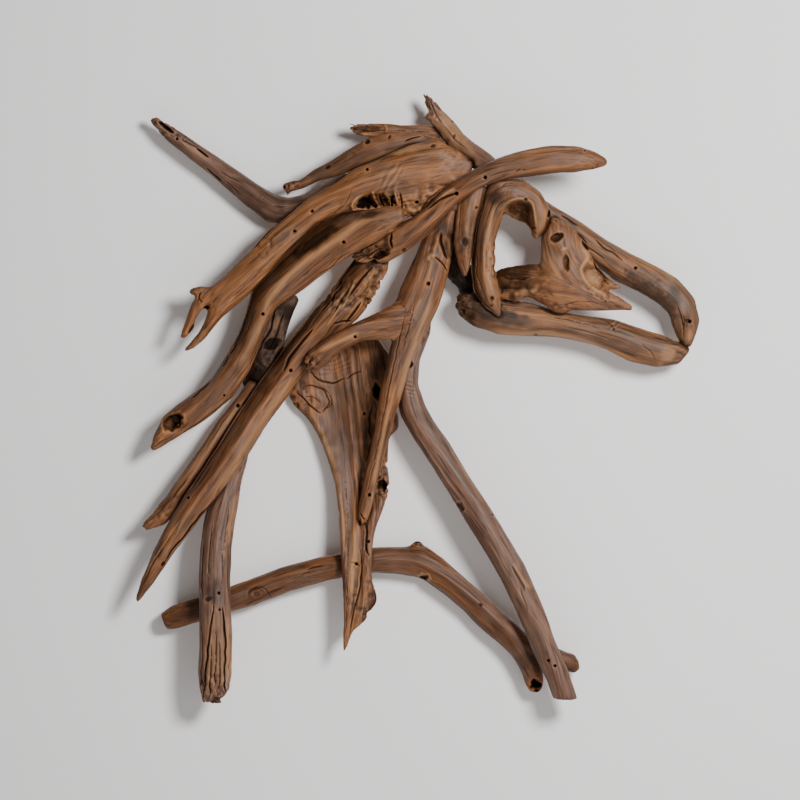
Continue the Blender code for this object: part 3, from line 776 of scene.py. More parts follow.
def carve_fork(skin):
    """The neck's fork: folded bark scars at its head and a worn arm."""
    skin.slope([(194, 300), (180, 268), (192, 236)], 0.5, 12, -1, 0.5)
    skin.crack([(182, 292), (182, 268), (194, 240)], 8, 7, 0.9)
    skin.crack([(168, 246), (182, 234), (194, 216)], 5, 4, 0.8)
    skin.ridge([(192, 288), (198, 268), (200, 244)], 3, 6, 0.6)
    skin.ridge([(154, 236), (160, 248), (174, 244)], 3, 7, 0.8)
    skin.hollow(198, 194, 10, 22, 20, 4, 0.8)
    skin.hollow(162, 278, 22, 30, -20, 1.5, 0.3)
    # Painted shadow under the forelock, laid on as stain and dark.
    skin.patch(182, 298, 46, 50, stain=1, dark=0.25)
    skin.hole(156.6, 191.6, 3.5)
    skin.crack([(110, 130), (96, 70), (80, -10), (62, -90)], 3.5, 2.4, 0.6)
    skin.crack([(130, 160), (116, 100), (104, 56)], 3, 1.8, 0.45)
    skin.ridge([(172, 176), (140, 100), (116, 28), (92, -56)], 2, 11, 0.7)
    skin.ridge([(78, -40), (62, -130), (42, -224)], 1.6, 7, 0.6)
    skin.crack([(66, -80), (52, -150), (36, -220)], 2.6, 1.6, 0.5)
    skin.hole(10.4, 86, 3, 7)
    skin.ridge([(-66, 54), (-28, 74), (20, 96)], 2, 8, 0.9)
    skin.rough(-78, 32, 30, 28, 0, 3, 6, 0.8)
    skin.chip(-80, 30, 26, 8, 7)
    skin.hole(-82, 36, 2.4, 5)
    skin.crack([(-20, 100), (24, 112), (68, 128)], 3, 1.8, 0.5)
    skin.hole(38.8, -229, 3.2, 8)
    skin.fray(26, -284, 14, 250, 6, 4)
    skin.crack([(20, -264), (26, -274), (32, -282)], 4, 4, 0.9)
    skin.crack([(72, 72), (78, 60), (76, 48)], 4, 2, 0.5)


def carve_board(skin):
    """The neck's dished board: growth rings, a raised rim, a slot and a split foot."""
    skin.rings(-40, 48, 150, 80, 10, 8, 0.4)
    # The dark shares of these patches are painted shade: the board lies in the shade, and the
    # darkest fills the crotch under the fork.
    skin.patch(-10, 36, 110, 60, dark=0.15)
    skin.patch(0, -80, 130, 240, stain=0.3, dark=0.3)
    skin.patch(50, 24, 44, 90, -15, dark=0.6)
    skin.patch(-100, -10, 60, 40, 60, dark=0.3)
    skin.hollow(-72, -36, 56, 34, -38, -2, 0)
    skin.crack([(-96, -12), (-74, -12), (-50, -24), (-42, -44), (-56, -64)], 4, 3.5, 0.7, 1.8)
    skin.crack([(-90, -32), (-72, -36), (-58, -48)], 3, 2, 0.5, 1.8)
    skin.crack([(-8, 2), (8, 12), (24, 18)], 4, 3, 0.7, 1.8)
    skin.crack([(-80, 20), (-66, 2), (-38, -6), (-8, 4)], 4.5, 4, 0.85)
    skin.crack([(-108, -24), (-92, -38), (-78, -54), (-58, -66)], 4.5, 4, 0.8)
    skin.crack([(-60, -12), (-42, -28), (-38, -48), (-54, -62)], 3, 2, 0.5)
    skin.ridge([(-88, -50), (-58, -104), (-36, -172), (-18, -260), (-12, -360)], 3, 9, 0.7)
    skin.slope([(-94, -54), (-64, -108), (-42, -176), (-24, -264)], 0.9, 9, 1, 0.45)
    skin.crack([(46, -44), (38, -80), (42, -120), (32, -164)], 5, 4, 0.7, 1.8)
    skin.ridge([(58, -48), (46, -70), (54, -96), (42, -122), (48, -150), (36, -180)], 3.5, 6, 1)
    skin.ridge([(42, -128), (32, -176), (28, -216)], 2.5, 7, 0.6)
    skin.hollow(54, -22, 18, 38, 10, 9, 1, 1.5)
    skin.hole(28.6, -67.4, 2.7, 7)
    skin.hollow(68, -210, 20, 24, 10, 10, 1, rough=0.55)
    skin.rough(62, -228, 26, 30, 0, 3, 7, 0.8)
    skin.ridge([(10, -284), (8, -332), (4, -384), (0, -440)], 3, 8, 1)
    skin.hollow(28, -293, 12, 12, 0, -1.5, 0.2)
    skin.crack([(30, -280), (34, -304), (32, -328), (38, -352)], 6, 5, 0.9)
    skin.hole(37, -322, 2.9, 7)
    skin.hole(12.8, -366.6, 3, 8)
    skin.crack([(0, -362), (12, -366), (20, -372)], 3, 3, 0.6)
    skin.crack([(22, -336), (22, -400), (8, -460), (-2, -516)], 4.5, 4, 0.8)
    skin.crack([(-6, -380), (-6, -440), (-8, -500)], 3, 2.5, 0.5)
    skin.slope([(42, -408), (28, -448), (14, -488)], 0.5, 16, -1, 0.3)
    skin.crack([(-10, -200), (-4, -280), (-4, -352)], 3, 1.5, 0.4)
    skin.fray(-8, -540, 12, 270, 4, 4)
    skin.chip(68, -196, 60, 8, 9)
    skin.chip(-104, -32, 40, 6, 9)
    skin.chip(40, -440, 60, 6, 9)


def carve_chest_post(skin):
    """The chest post: smooth, with wrinkled bark at its bend and two knots."""
    skin.ripple(124, -12, 34, 60, -8, 8.5, 1)
    skin.hollow(120, 30, 12, 18, -20, 5, 0.9)
    skin.rough(148, 100, 34, 70, 10, 1.6, 9, 0.4)
    skin.hollow(220, -252, 14, 24, 30, 3, 0.6, 0.8, 0.3)
    skin.hole(284, -268.6, 2.2, 3)
    skin.crack([(322, -370), (336, -394), (350, -420)], 6, 2.4, 0.6)
    skin.crack([(338, -412), (346, -436), (354, -460)], 4, 1.6, 0.4)
    skin.ridge([(324, -360), (342, -392), (364, -420)], 2, 9, 0.5)
    skin.hole(395, -558.6, 3, 7)
    skin.hole(408.4, -568.8, 3, 7)
    skin.patch(395, -556, 20, 20, stain=0.5)
    skin.patch(160, -80, 60, 34, -55, stain=0.4)


def carve_cross_branch(skin):
    """The cross branch: a figured knot, two bark knobs and a hollow right end."""
    skin.rings(-186, -426, 42, 28, -10, 9, 0.7)
    skin.crack([(-202, -424), (-186, -414), (-168, -418), (-156, -434)], 2.6, 1.6, 0.7)
    skin.hollow(-196, -450, 12, 9, 0, -2.5, 0.2)
    skin.crack([(-86, -380), (-72, -375), (-54, -372)], 4, 2.2, 0.7)
    skin.crack([(-102, -394), (-88, -386), (-76, -384)], 2.6, 1.4, 0.5)
    skin.rough(132, -326, 26, 16, 0, 2.4, 5, 0.7)
    skin.crack([(116, -334), (130, -326), (142, -326)], 4, 3, 0.9)
    skin.hollow(148, -395, 22, 16, -15, 6, 0.95, 2, 0.3)
    skin.hollow(260, -449, 9, 7, 30, 1.6, 0.6)
    skin.hollow(370, -608, 24, 24, 0, 12, 1, 0.5, 0.4)
    skin.patch(-340, -468, 70, 50, 10, dark=0.22)
    skin.patch(344, -560, 40, 60, -50, dark=0.35)
    skin.patch(448, -576, 16, 26, stain=0.6)


def carve_back_post(skin):
    """The back post: deeply checked in its lower third and broken off at its foot."""
    skin.crack([(-270, -448), (-278, -490), (-282, -540), (-288, -590), (-292, -636)],
               6, 7, 0.75, 1.6)
    skin.crack([(-254, -452), (-252, -490), (-248, -530), (-250, -576), (-248, -620)],
               5.5, 7, 0.8, 1.5)
    skin.crack([(-266, -500), (-268, -550), (-268, -620)], 4, 4, 0.6, 1.8)
    skin.crack([(-260, -520), (-260, -576), (-258, -628)], 3.5, 4, 0.55, 1.5)
    skin.crack([(-294, -490), (-294, -560), (-298, -620)], 3.5, 3, 0.55, 1.5)
    skin.crack([(-276, -520), (-278, -580), (-280, -640)], 3.5, 4, 0.6, 1.6)
    skin.crack([(-242, -480), (-240, -540), (-242, -600)], 3, 3, 0.5, 1.5)
    skin.patch(-270, -550, 80, 160, pale=0.35)
    skin.patch(-272, -646, 80, 24, 12, dark=0.7)
    skin.ridge([(-276, -464), (-278, -540), (-282, -620)], 2, 5, 0.9)
    skin.ridge([(-244, -464), (-240, -540), (-242, -608)], 2, 8, 0.8)
    skin.hole(-260.8, -424, 2.8, 6)
    skin.hole(-259.2, -457.2, 2.4, 5)
    skin.hollow(-281, -436, 18, 12, 20, 2, 0.6)
    skin.patch(-272, -420, 44, 60, stain=0.8)
    skin.crack([(-290, -320), (-294, -380), (-292, -440)], 4, 2.2, 0.55)
    skin.crack([(-274, -280), (-280, -340), (-282, -410)], 3.5, 2, 0.5)
    skin.crack([(-256, -330), (-254, -380), (-256, -412)], 3, 1.6, 0.5)
    skin.crack([(-240, -250), (-248, -300), (-250, -340)], 3, 1.6, 0.5)
    skin.crack([(-244, -320), (-244, -380), (-242, -440)], 3, 1.6, 0.45)
    skin.patch(-236, -280, 14, 150, -12, pale=0.5)
    skin.fray(-272, -634, 40, 270, 9, 6)
    skin.chip(-270, -620, 50, 7)


def carve_jaw(skin):
    """The jaw: rough and dark in the throat, where shade is painted, and pale and faceted at the
    chin.
    """
    skin.rough(276, 150, 130, 46, -15, 2, 9, 0.6)
    skin.rough(228, 156, 44, 70, 0, 2.6, 8, 0.6)
    skin.chip(220, 156, 50, 8, 11)
    # Painted shade at the throat end.
    skin.patch(236, 154, 150, 110, -20, dark=0.6)
    skin.patch(300, 124, 130, 40, -8, stain=1)
    skin.patch(420, 100, 90, 18, -10, stain=0.5)
    skin.ridge([(260, 104), (320, 92), (390, 92), (460, 80), (520, 54), (590, 28)], 1.6, 9, 0.9)
    skin.ripple(530, 110, 42, 30, 30, 8, 0.8)
    skin.crack([(508, 116), (522, 110), (528, 94)], 3, 2, 0.5)
    skin.crack([(580, 70), (600, 56), (608, 40)], 3, 1.6, 0.4)
    skin.slope([(636, 72), (626, 52), (616, 28)], 0.25, 24, -1)
    skin.patch(636, 52, 30, 34, pale=0.6)
    skin.hollow(370, 90, 10, 7, 0, 2.5, 0.6)
    skin.crack([(390, 128), (450, 116), (500, 104)], 3, 1.6, 0.45)
    skin.crack([(420, 108), (480, 94), (536, 72)], 2.6, 1.4, 0.4)
    skin.hole(216, 160, 2.6, 4)


def carve_nose(skin):
    """The bridge of the nose: long cracks, and black stains where it bends down."""
    skin.patch(592, 180, 130, 50, -35, stain=1, dark=0.2)
    skin.patch(636, 150, 40, 90, -20, stain=1, dark=0.2)
    skin.patch(520, 236, 50, 20, -30, stain=0.5)
    skin.rough(596, 184, 130, 56, -35, 0.8, 6, 0.4)
    skin.hole(568.8, 223, 3, 7)
    skin.hole(677.2, 116.4, 3.4, 7)
    skin.hollow(672, 118, 16, 9, 0, 2, 0.5)
    skin.crack([(488, 280), (504, 264), (524, 252), (544, 236)], 5, 3.5, 0.7)
    skin.crack([(420, 328), (440, 316), (454, 306)], 5, 3.5, 0.8)
    skin.crack([(456, 284), (480, 260), (508, 240)], 4, 2.4, 0.6)
    skin.crack([(500, 274), (530, 256), (564, 236)], 3, 1.6, 0.45)
    skin.crack([(442, 296), (460, 286), (472, 272)], 5, 3, 0.7)
    skin.crack([(652, 148), (662, 120), (664, 92)], 4, 2.2, 0.6)
    skin.ridge([(420, 340), (500, 290), (580, 242), (640, 206), (676, 170)], 1.6, 12, 0.6)
    skin.slope([(682, 124), (672, 92), (664, 68)], 0.3, 16, 1)
    skin.patch(680, 90, 14, 34, pale=0.6)


def carve_eye_arch(skin):
    """The eye's arch: a crest down its front edge and a deep recess under the brow."""
    skin.slope([(278, 354), (270, 316), (266, 264), (264, 210), (272, 168), (288, 136)],
               0.75, 26, 1, 0.35)
    skin.ridge([(286, 348), (278, 300), (276, 250), (278, 204), (288, 156)], 2, 9, 0.8)
    skin.patch(292, 362, 44, 34, stain=1, dark=0.5)
    skin.patch(292, 336, 10, 30, 10, stain=0.8)
    skin.slope([(298, 332), (310, 350), (326, 358), (344, 360), (362, 352), (368, 324), (372, 284)],
               0.75, 26, 1, 0.6)
    skin.ridge([(298, 332), (310, 350), (326, 358), (344, 360), (362, 352), (368, 324), (372, 288)],
               3, 5.5, 0.7)
    skin.rough(338, 336, 50, 40, 20, 1.6, 9, 0.4)
    skin.patch(382, 328, 30, 60, pale=0.15)
    skin.hollow(350, 359, 8, 8, 0, 4, 0.9)
    skin.hollow(399.4, 333, 13, 24, -25, 9, 1)
    skin.hole(283, 163, 2.4, 5)
    skin.hollow(283, 162, 11, 14, 0, 1.5, 0.6)
    skin.hollow(282, 148, 7, 5, 0, 1.5, 0.6)
    skin.hollow(300, 180, 10, 14, 0, 2, 0.6)
    skin.crack([(300, 382), (310, 390), (324, 392)], 3, 1.6, 0.4)
    skin.rough(306, 250, 26, 70, 0, 2.4, 7, 0.5)
    skin.chip(304, 240, 50, 7, 7)
    skin.chip(364, 288, 20, 5, 5)
    skin.ripple(316, 376, 50, 26, 70, 7, 0.6)
    skin.crack([(254, 250), (254, 210), (266, 168)], 3, 2, 0.5)
    skin.crack([(274, 280), (274, 236), (280, 190)], 2.6, 1.4, 0.4)


def carve_temple(skin):
    """The temple strip, with one dark knot."""
    skin.hollow(229.4, 274, 15, 22, -10, 2, 0.75)
    skin.patch(229.4, 274, 30, 40, -10, stain=0.8)
    skin.hollow(252.6, 342.6, 9, 7, 0, 2.2, 0.7)
    skin.crack([(222, 360), (218, 320), (216, 288)], 3, 1.6, 0.45)
    skin.rough(230, 280, 60, 120, 0, 1.2, 12, 0.3)
    skin.crack([(244, 336), (240, 300), (238, 280)], 2.6, 1.4, 0.4)
    skin.crack([(222, 244), (228, 224), (232, 210)], 3, 1.6, 0.5)
    skin.ridge([(236, 360), (232, 310), (232, 236)], 1.2, 9, 0.4)
    skin.patch(230, 296, 60, 200, dark=0.28)


def carve_cheek(skin):
    """The cheek knot: eye-shaped holes, a slot, a pale scoop and a rough lobe painted dark as
    shade.
    """
    skin.hollow(411.2, 283.2, 32, 19, 32, 8, 0.6, 0.7, 0.2)
    skin.hollow(430.4, 232, 13, 40, 5, 4.5, 0.45, 0.5, 0.2)
    skin.ridge([(422, 256), (426, 262), (432, 258)], 2, 5, 1)
    skin.hollow(468.8, 268.4, 11, 27, 32, 8, 0.95, 1)
    skin.ridge([(452, 278), (464, 260), (474, 246), (464, 228), (460, 216), (472, 194),
                (496, 174), (524, 160)], 3, 7, 1)
    skin.slope([(466, 236), (462, 218), (474, 194), (498, 174)], 0.6, 20, -1, 0.1)
    skin.patch(484, 200, 34, 50, 40, pale=0.8)
    skin.crack([(484, 236), (500, 208), (512, 194)], 6, 6, 0.8)
    skin.rough(328, 192, 74, 70, 0, 3, 15, 0.6)
    skin.crack([(300, 208), (328, 200), (360, 204)], 5, 4, 0.7, 1.8)
    skin.chip(324, 160, 50, 10, 9)
    skin.chip(500, 190, 44, 5, 7)
    # Painted shade over the lobe.
    skin.patch(324, 208, 130, 90, dark=0.75)
    skin.patch(324, 164, 24, 30, dark=0.7)
    skin.ridge([(336, 180), (352, 174), (368, 180), (376, 194)], 3, 8, 0.7)
    skin.hollow(316, 150, 14, 16, 0, 6, 1)
    skin.hollow(398, 313, 8, 6, 0, 2.5, 0.85)
    skin.rough(420, 144, 90, 20, 0, 1.6, 7, 0.5)
    skin.crack([(420, 148), (460, 156), (500, 150)], 3, 1.8, 0.4)
    skin.patch(400, 220, 60, 90, pale=0.25)
    skin.hole(508, 156, 1.6, 2)


def carve_throat(skin):
    """The throat block: dark wood painted darker for the shade it lies in."""
    skin.rough(216, 200, 90, 140, 0, 2.5, 12, 0.7)
    skin.patch(216, 200, 200, 300, dark=0.5)


# Each wood's material, and the slot of its pieces
SEASONED = ("weathered_root", "seasoned_driftwood")
PLANK = ("worn_plate", "seasoned_driftwood")
GREYED = ("greyed_limb", "greyed_driftwood")
GREYED_TAN = ("greyed_limb", "seasoned_driftwood")
ORANGE = ("orange_limb", "orange_driftwood")
SHADED = ("dark_heart", "shaded_driftwood")
STAINED = ("stained_limb", "seasoned_driftwood")
JAW = ("stained_limb", "greyed_driftwood")

# A branch's grain lines are each a distance to start from, and points across and up. The
# rounds soften the solid's facets, but not at its crisp spots: across, up and reach. The
# weather is the depth of swells, grooves and fibres.
Branch = namedtuple("Branch", "node wood slot lines carve seed rounds crisp weather",
                    defaults=(26, (), (1.3, 1.0, 0.3)))
BROW = (
    Branch("forelock_branch", *SEASONED, [
        (0, [(512, 434), (454, 444), (350, 430), (268, 408), (200, 366), (166, 334), (124, 296),
             (90, 272), (44, 256), (12, 248)]),
    ], carve_forelock, 11),
)
SKULL = (
    Branch("crest_plank", *PLANK, [
        (0, [(240, 432), (180, 420), (110, 408), (50, 392), (-10, 368), (-64, 344), (-120, 304),
             (-170, 260), (-220, 216), (-256, 184), (-290, 144), (-316, 100), (-328, 64)]),
        (640, [(-256, 208), (-300, 176), (-314, 130), (-330, 90)]),
    ], carve_plank, 21, rounds=16, weather=(1.2, 0.7, 0.25)),
    Branch("crest_strip", *SEASONED, [
        (0, [(-134, 380), (-100, 390), (-40, 416), (20, 450), (80, 472), (130, 483), (172, 488)]),
    ], carve_strip, 22, rounds=8, weather=(0.8, 0.8, 0.3)),
    Branch("crown_splinter", *SEASONED, [
        (0, [(4, 504), (90, 499), (174, 496)]),
    ], carve_crown, 23, rounds=6, weather=(0.5, 0.6, 0.3)),
)
EARS = (
    Branch("front_ear", *GREYED_TAN, [
        (0, [(154, 566), (162, 552), (172, 524), (194, 498), (220, 470), (256, 444), (294, 424)]),
    ], carve_front_ear, 31, rounds=8, weather=(0.8, 0.9, 0.35)),
    Branch("rear_ear", *GREYED, [
        (0, [(-396, 522), (-370, 502), (-320, 468), (-270, 430), (-210, 386), (-164, 354),
             (-130, 344), (-80, 360), (0, 400)]),
    ], carve_rear_ear, 32, rounds=12, weather=(1.0, 1.2, 0.35)),
)
MANE = (
    Branch("mane_lock_upper", *SEASONED, [
        (0, [(104, 334), (50, 316), (-4, 284), (-64, 244), (-120, 196), (-164, 156), (-188, 110),
             (-220, 44), (-270, -20), (-326, -74), (-392, -136)]),
    ], carve_lock_upper, 41),
    Branch("mane_rear_block", *SHADED, [
        (0, [(-108, 160), (-132, 110), (-160, 60), (-190, 4)]),
    ], carve_rear_block, 42, weather=(2.0, 1.6, 0.3)),
    Branch("mane_lock_long", *SEASONED, [
        (0, [(56, 224), (-10, 156), (-100, 56), (-176, -40), (-244, -150), (-310, -250),
             (-370, -350), (-420, -436)]),
    ], carve_lock_long, 43),
    Branch("mane_lock_lower", *SEASONED, [
        (0, [(-188, -8), (-224, -44), (-264, -104), (-310, -180), (-364, -250), (-408, -294)]),
    ], carve_lock_lower, 44, rounds=16),
)
NECK = (
    Branch("neck_fork", *SEASONED, [
        (0, [(198, 316), (184, 260), (160, 170), (110, 60), (80, -60), (52, -170), (26, -282)]),
        (300, [(124, 110), (84, 104), (30, 96), (-30, 70), (-80, 28)]),
    ], carve_fork, 51, weather=(1.5, 1.1, 0.3)),
    Branch("neck_board", *SEASONED, [
        (0, [(-24, 100), (-8, 0), (4, -100), (16, -240), (12, -380), (-10, -544)]),
    ], carve_board, 52, weather=(1.5, 1.3, 0.35)),
    Branch("throat_block", *SHADED, [
        (0, [(210, 250), (220, 190), (224, 160)]),
    ], carve_throat, 53, weather=(1.6, 1.4, 0.3)),
)
POSTS = (
    Branch("chest_post", *GREYED, [
        (0, [(150, 134), (116, 30), (124, -60), (190, -170), (270, -280), (340, -400), (400, -520),
             (432, -634)]),
    ], carve_chest_post, 61, crisp=[(430, -634, 44)], weather=(1.4, 0.5, 0.2)),
    Branch("back_post", *GREYED, [
        (0, [(-212, -140), (-244, -210), (-264, -280), (-272, -360), (-272, -460), (-268, -550),
             (-272, -640)]),
    ], carve_back_post, 62, rounds=18, weather=(1.3, 1.2, 0.3)),
    Branch("cross_branch", *ORANGE, [
        (0, [(-370, -482), (-270, -456), (-130, -398), (-10, -372), (100, -358), (180, -386),
             (260, -448), (320, -510), (370, -590)]),
        (760, [(310, -490), (360, -526), (420, -556), (454, -576)]),
    ], carve_cross_branch, 63, crisp=[(-372, -482, 26)], weather=(1.4, 0.8, 0.25)),
)
MUZZLE = (
    Branch("lower_jaw", *JAW, [
        (0, [(210, 152), (300, 124), (400, 110), (520, 88), (600, 60), (672, 48)]),
    ], carve_jaw, 71, rounds=16, weather=(1.3, 1.0, 0.3)),
    Branch("nose_branch", *STAINED, [
        (0, [(402, 340), (480, 276), (560, 224), (630, 180), (668, 136), (672, 70)]),
    ], carve_nose, 72, rounds=18, weather=(1.2, 1.0, 0.3)),
)
EYE = (
    Branch("eye_arch", *SEASONED, [
        (0, [(296, 126), (274, 180), (268, 250), (278, 310), (296, 354), (332, 364), (366, 336),
             (372, 280)]),
    ], carve_eye_arch, 81, rounds=16, weather=(1.3, 1.0, 0.3)),
    Branch("temple_strip", *SEASONED, [
        (0, [(240, 380), (230, 320), (226, 260), (230, 204)]),
    ], carve_temple, 82, rounds=8, weather=(0.8, 0.8, 0.3)),
    Branch("cheek_knot", *SEASONED, [
        (0, [(396, 316), (412, 240), (460, 180), (556, 142)]),
        (0, [(300, 190), (380, 186), (460, 176)]),
    ], carve_cheek, 83, rounds=14, weather=(1.2, 0.8, 0.3)),
)


def add_node(tree, kind, values=None, links=None, **settings):
    """Add a shader node with its options, its fixed inputs and its linked inputs."""
    node = tree.nodes.new(kind)
    for name, value in settings.items():
        setattr(node, name, value)
    for name, value in (values or {}).items():
        node.inputs[name].default_value = value
    for name, source in (links or {}).items():
        tree.links.new(source, node.inputs[name])
    return node


def set_stops(ramp, stops):
    """Give a colour ramp its stops: a position and a linear colour each."""
    while len(ramp.elements) < len(stops):
        ramp.elements.new(1.0)
    for element, (position, colour) in zip(ramp.elements, stops):
        element.position = position
        element.color = (*colour, 1.0)


def grain_noise(tree, grain, scale, place, **values):
    """Noise that is stretched along the grain."""
    mapping = add_node(tree, "ShaderNodeMapping", values={"Scale": scale, "Location": place},
                       links={"Vector": grain})
    texture = add_node(tree, "ShaderNodeTexNoise", values={"Scale": 1.0, **values},
                       links={"Vector": mapping.outputs["Vector"]})
    return texture.outputs["Fac"]


def remap(tree, source, low, high, to_low, to_high):
    """Carry a value over from one range to another."""
    values = {"From Min": low, "From Max": high, "To Min": to_low, "To Max": to_high}
    node = add_node(tree, "ShaderNodeMapRange", values=values, links={"Value": source})
    return node.outputs["Result"]


def dimmed(tree, colour, share):
    """A colour times a value."""
    node = add_node(tree, "ShaderNodeVectorMath", operation="SCALE",
                    links={0: colour, "Scale": share})
    return node.outputs["Vector"]


def covered(tree, colour, cover, share):
    """A colour with a second one, a hex colour, laid over it by a share."""
    node = add_node(tree, "ShaderNodeMix", data_type="RGBA", values={7: (*to_linear(cover), 1.0)},
                    links={0: share, 6: colour})
    return node.outputs[2]


def wood_material(name, deep, middle, lit, roughness, seed):
    """Driftwood with streaks along the grain: darker in its cracks, lighter on worn crests."""
    material = bpy.data.materials.new(name)
    material.use_nodes = True
    tree = material.node_tree
    tree.nodes.clear()
    grain = add_node(tree, "ShaderNodeAttribute", attribute_name="grain").outputs["Vector"]
    layers = {}
    for layer in ("dark", "pale", "stain", "worn"):
        layers[layer] = add_node(tree, "ShaderNodeAttribute", attribute_name=layer).outputs["Fac"]

    # Broad streaks of colour are about 200 mm by 14 mm.
    streak = grain_noise(tree, grain, (5.0, 70.0, 70.0), (seed, seed, 0.0),
                         Detail=3.0, Distortion=0.3)
    streaks = add_node(tree, "ShaderNodeValToRGB", links={"Fac": streak})
    set_stops(streaks.color_ramp, [(0.24, deep), (0.5, middle), (0.78, lit)])

    # Patches about 80 mm across have lost some of their colour.
    place = add_node(tree, "ShaderNodeTexCoord")
    mottle = add_node(tree, "ShaderNodeTexNoise", values={"Scale": 13.0, "Detail": 3.0},
                      links={"Vector": place.outputs["Object"]})
    lost = remap(tree, mottle.outputs["Fac"], 0.46, 0.68, 0.0, 0.5)
    colour = covered(tree, streaks.outputs["Color"], "#5d4637", lost)

    # Fine dark lines run with the fibres, 45 mm long. They are drawn 3 mm wide, so that they show.
    fibre = grain_noise(tree, grain, (22.0, 330.0, 330.0), (seed, 0.0, seed), Detail=2.0)
    colour = dimmed(tree, colour, remap(tree, fibre, 0.34, 0.62, 0.68, 1.16))

    # Dry checks are hairline cracks 60 mm long, painted as dark lines of shade. They are drawn 2 mm
    # wide, so that they show.
    check = grain_noise(tree, grain, (15.0, 170.0, 170.0), (0.0, seed, seed),
                        Detail=1.0, Distortion=0.2)
    colour = dimmed(tree, colour, remap(tree, check, 0.60, 0.69, 1.0, 0.45))

    # Worn crests go paler, and grooves darker with painted shade.
    colour = dimmed(tree, colour, remap(tree, layers["worn"], -1.0, 1.0, 0.5, 1.42))
    pale_share = add_node(tree, "ShaderNodeMath", operation="MULTIPLY", values={1: 0.75},
                          links={0: layers["pale"]})
    colour = covered(tree, colour, "#a27650", pale_share.outputs["Value"])

    # Old stains are patchy and lie along the grain.
    patchy = add_node(tree, "ShaderNodeMath", operation="MULTIPLY_ADD", values={1: 2.4, 2: -0.5},
                      links={0: streak})
    stain_share = add_node(tree, "ShaderNodeMath", operation="MULTIPLY", use_clamp=True,
                           links={0: patchy.outputs["Value"], 1: layers["stain"]})
    colour = covered(tree, colour, "#2c1d13", stain_share.outputs["Value"])
    # The dark layer, near black, is mostly painted shade in cracks, holes, gaps and shaded flanks.
    colour = covered(tree, colour, "#120b07", layers["dark"])

    gloss = remap(tree, streak, 0.3, 0.7, roughness - 0.08, roughness + 0.12)
    bump = add_node(tree, "ShaderNodeBump", values={"Strength": 0.7, "Distance": 0.0010},
                    links={"Height": fibre})
    # Where the dark layer paints shade, as in a crack, the wood doesn't shine.
    shine = remap(tree, layers["dark"], 0.0, 1.0, 0.3, 0.0)
    surface = add_node(tree, "ShaderNodeBsdfPrincipled",
                       links={"Base Color": colour, "Roughness": gloss, "Specular IOR Level": shine,
                              "Normal": bump.outputs["Normal"]})
    add_node(tree, "ShaderNodeOutputMaterial", links={"Surface": surface.outputs["BSDF"]})
    material.diffuse_color = (*middle, 1.0)
    return material


# Each wood's deep, middle and lit colours, its roughness, and where its pattern starts.
# Without a lit colour, it has the panel's.
WOODS = {
    # Tan root with long streaks: most of the head
    "weathered_root": ("#4f2f19", "#694227", None, 0.52, 0.0),
    # The skull's plate is smoother, and its colour more even
    "worn_plate": ("#5c3a1e", "#784b29", None, 0.5, 3.7),
    # Pinkish grey posts, bleached by the sea
    "greyed_limb": ("#46301f", "#654636", "#82614e", 0.54, 9.1),
    # The cross branch is more orange than the rest
    "orange_limb": ("#402210", "#5a351a", "#764722", 0.52, 5.3),
    # Wood that is always in the shade: dark wood, with its shadow painted in, brown to near black
    "dark_heart": ("#170d08", "#2c1b11", "#4a3020", 0.65, 2.9),
    # Nose and jaw, with grey stains over tan
    "stained_limb": ("#3a2416", "#5f3f28", None, 0.52, 7.4),
}


def make_woods(settings):
    """Every wood of the head, from the light root pieces to the dark wood with painted shade behind
    them.
    """
    for name, (deep, middle, lit, roughness, seed) in WOODS.items():
        palest = to_linear(lit) if lit else tuple(settings.lit_colour)
        wood_material(name, to_linear(deep), to_linear(middle), palest, roughness, seed)


def plain_material(name, colour, one_sided=False):
    """A matt, even finish for the stage. A one-sided wall is clear from behind."""
    material = bpy.data.materials.new(name)
    material.use_nodes = True
    tree = material.node_tree
    tree.nodes.clear()
    paint = add_node(tree, "ShaderNodeBsdfPrincipled",
                     values={"Base Color": (*colour, 1.0), "Roughness": 0.9})
    shown = paint.outputs["BSDF"]
    if one_sided:
        clear = add_node(tree, "ShaderNodeBsdfTransparent")
        facing = add_node(tree, "ShaderNodeNewGeometry")
        mix = add_node(tree, "ShaderNodeMixShader",
                       links={"Fac": facing.outputs["Backfacing"], 1: shown,
                              2: clear.outputs["BSDF"]})
        shown = mix.outputs["Shader"]
    add_node(tree, "ShaderNodeOutputMaterial", links={"Surface": shown})
    return material


def flat_sheet(name, width, height, matrix, material):
    """A plain rectangle of the stage."""
    bm = bmesh.new()
    bmesh.ops.create_grid(bm, x_segments=1, y_segments=1, size=0.5,
                          matrix=matrix @ Matrix.Diagonal((width, height, 1.0, 1.0)))
    mesh = bpy.data.meshes.new(name)
    bm.to_mesh(mesh)
    bm.free()
    mesh.materials.append(material)
    sheet = bpy.data.objects.new(name, mesh)
    bpy.context.scene.collection.objects.link(sheet)
    return sheet


def area_light(name, place, target, size, power):
    """A round soft light that faces its target."""
    data = bpy.data.lights.new(name, "AREA")
    data.shape = "DISK"
    data.size = size
    data.energy = power
    light = bpy.data.objects.new(name, data)
    light.location = place
    light.rotation_euler = (Vector(target) - Vector(place)).to_track_quat("-Z", "Y").to_euler()
    bpy.context.scene.collection.objects.link(light)
    return light


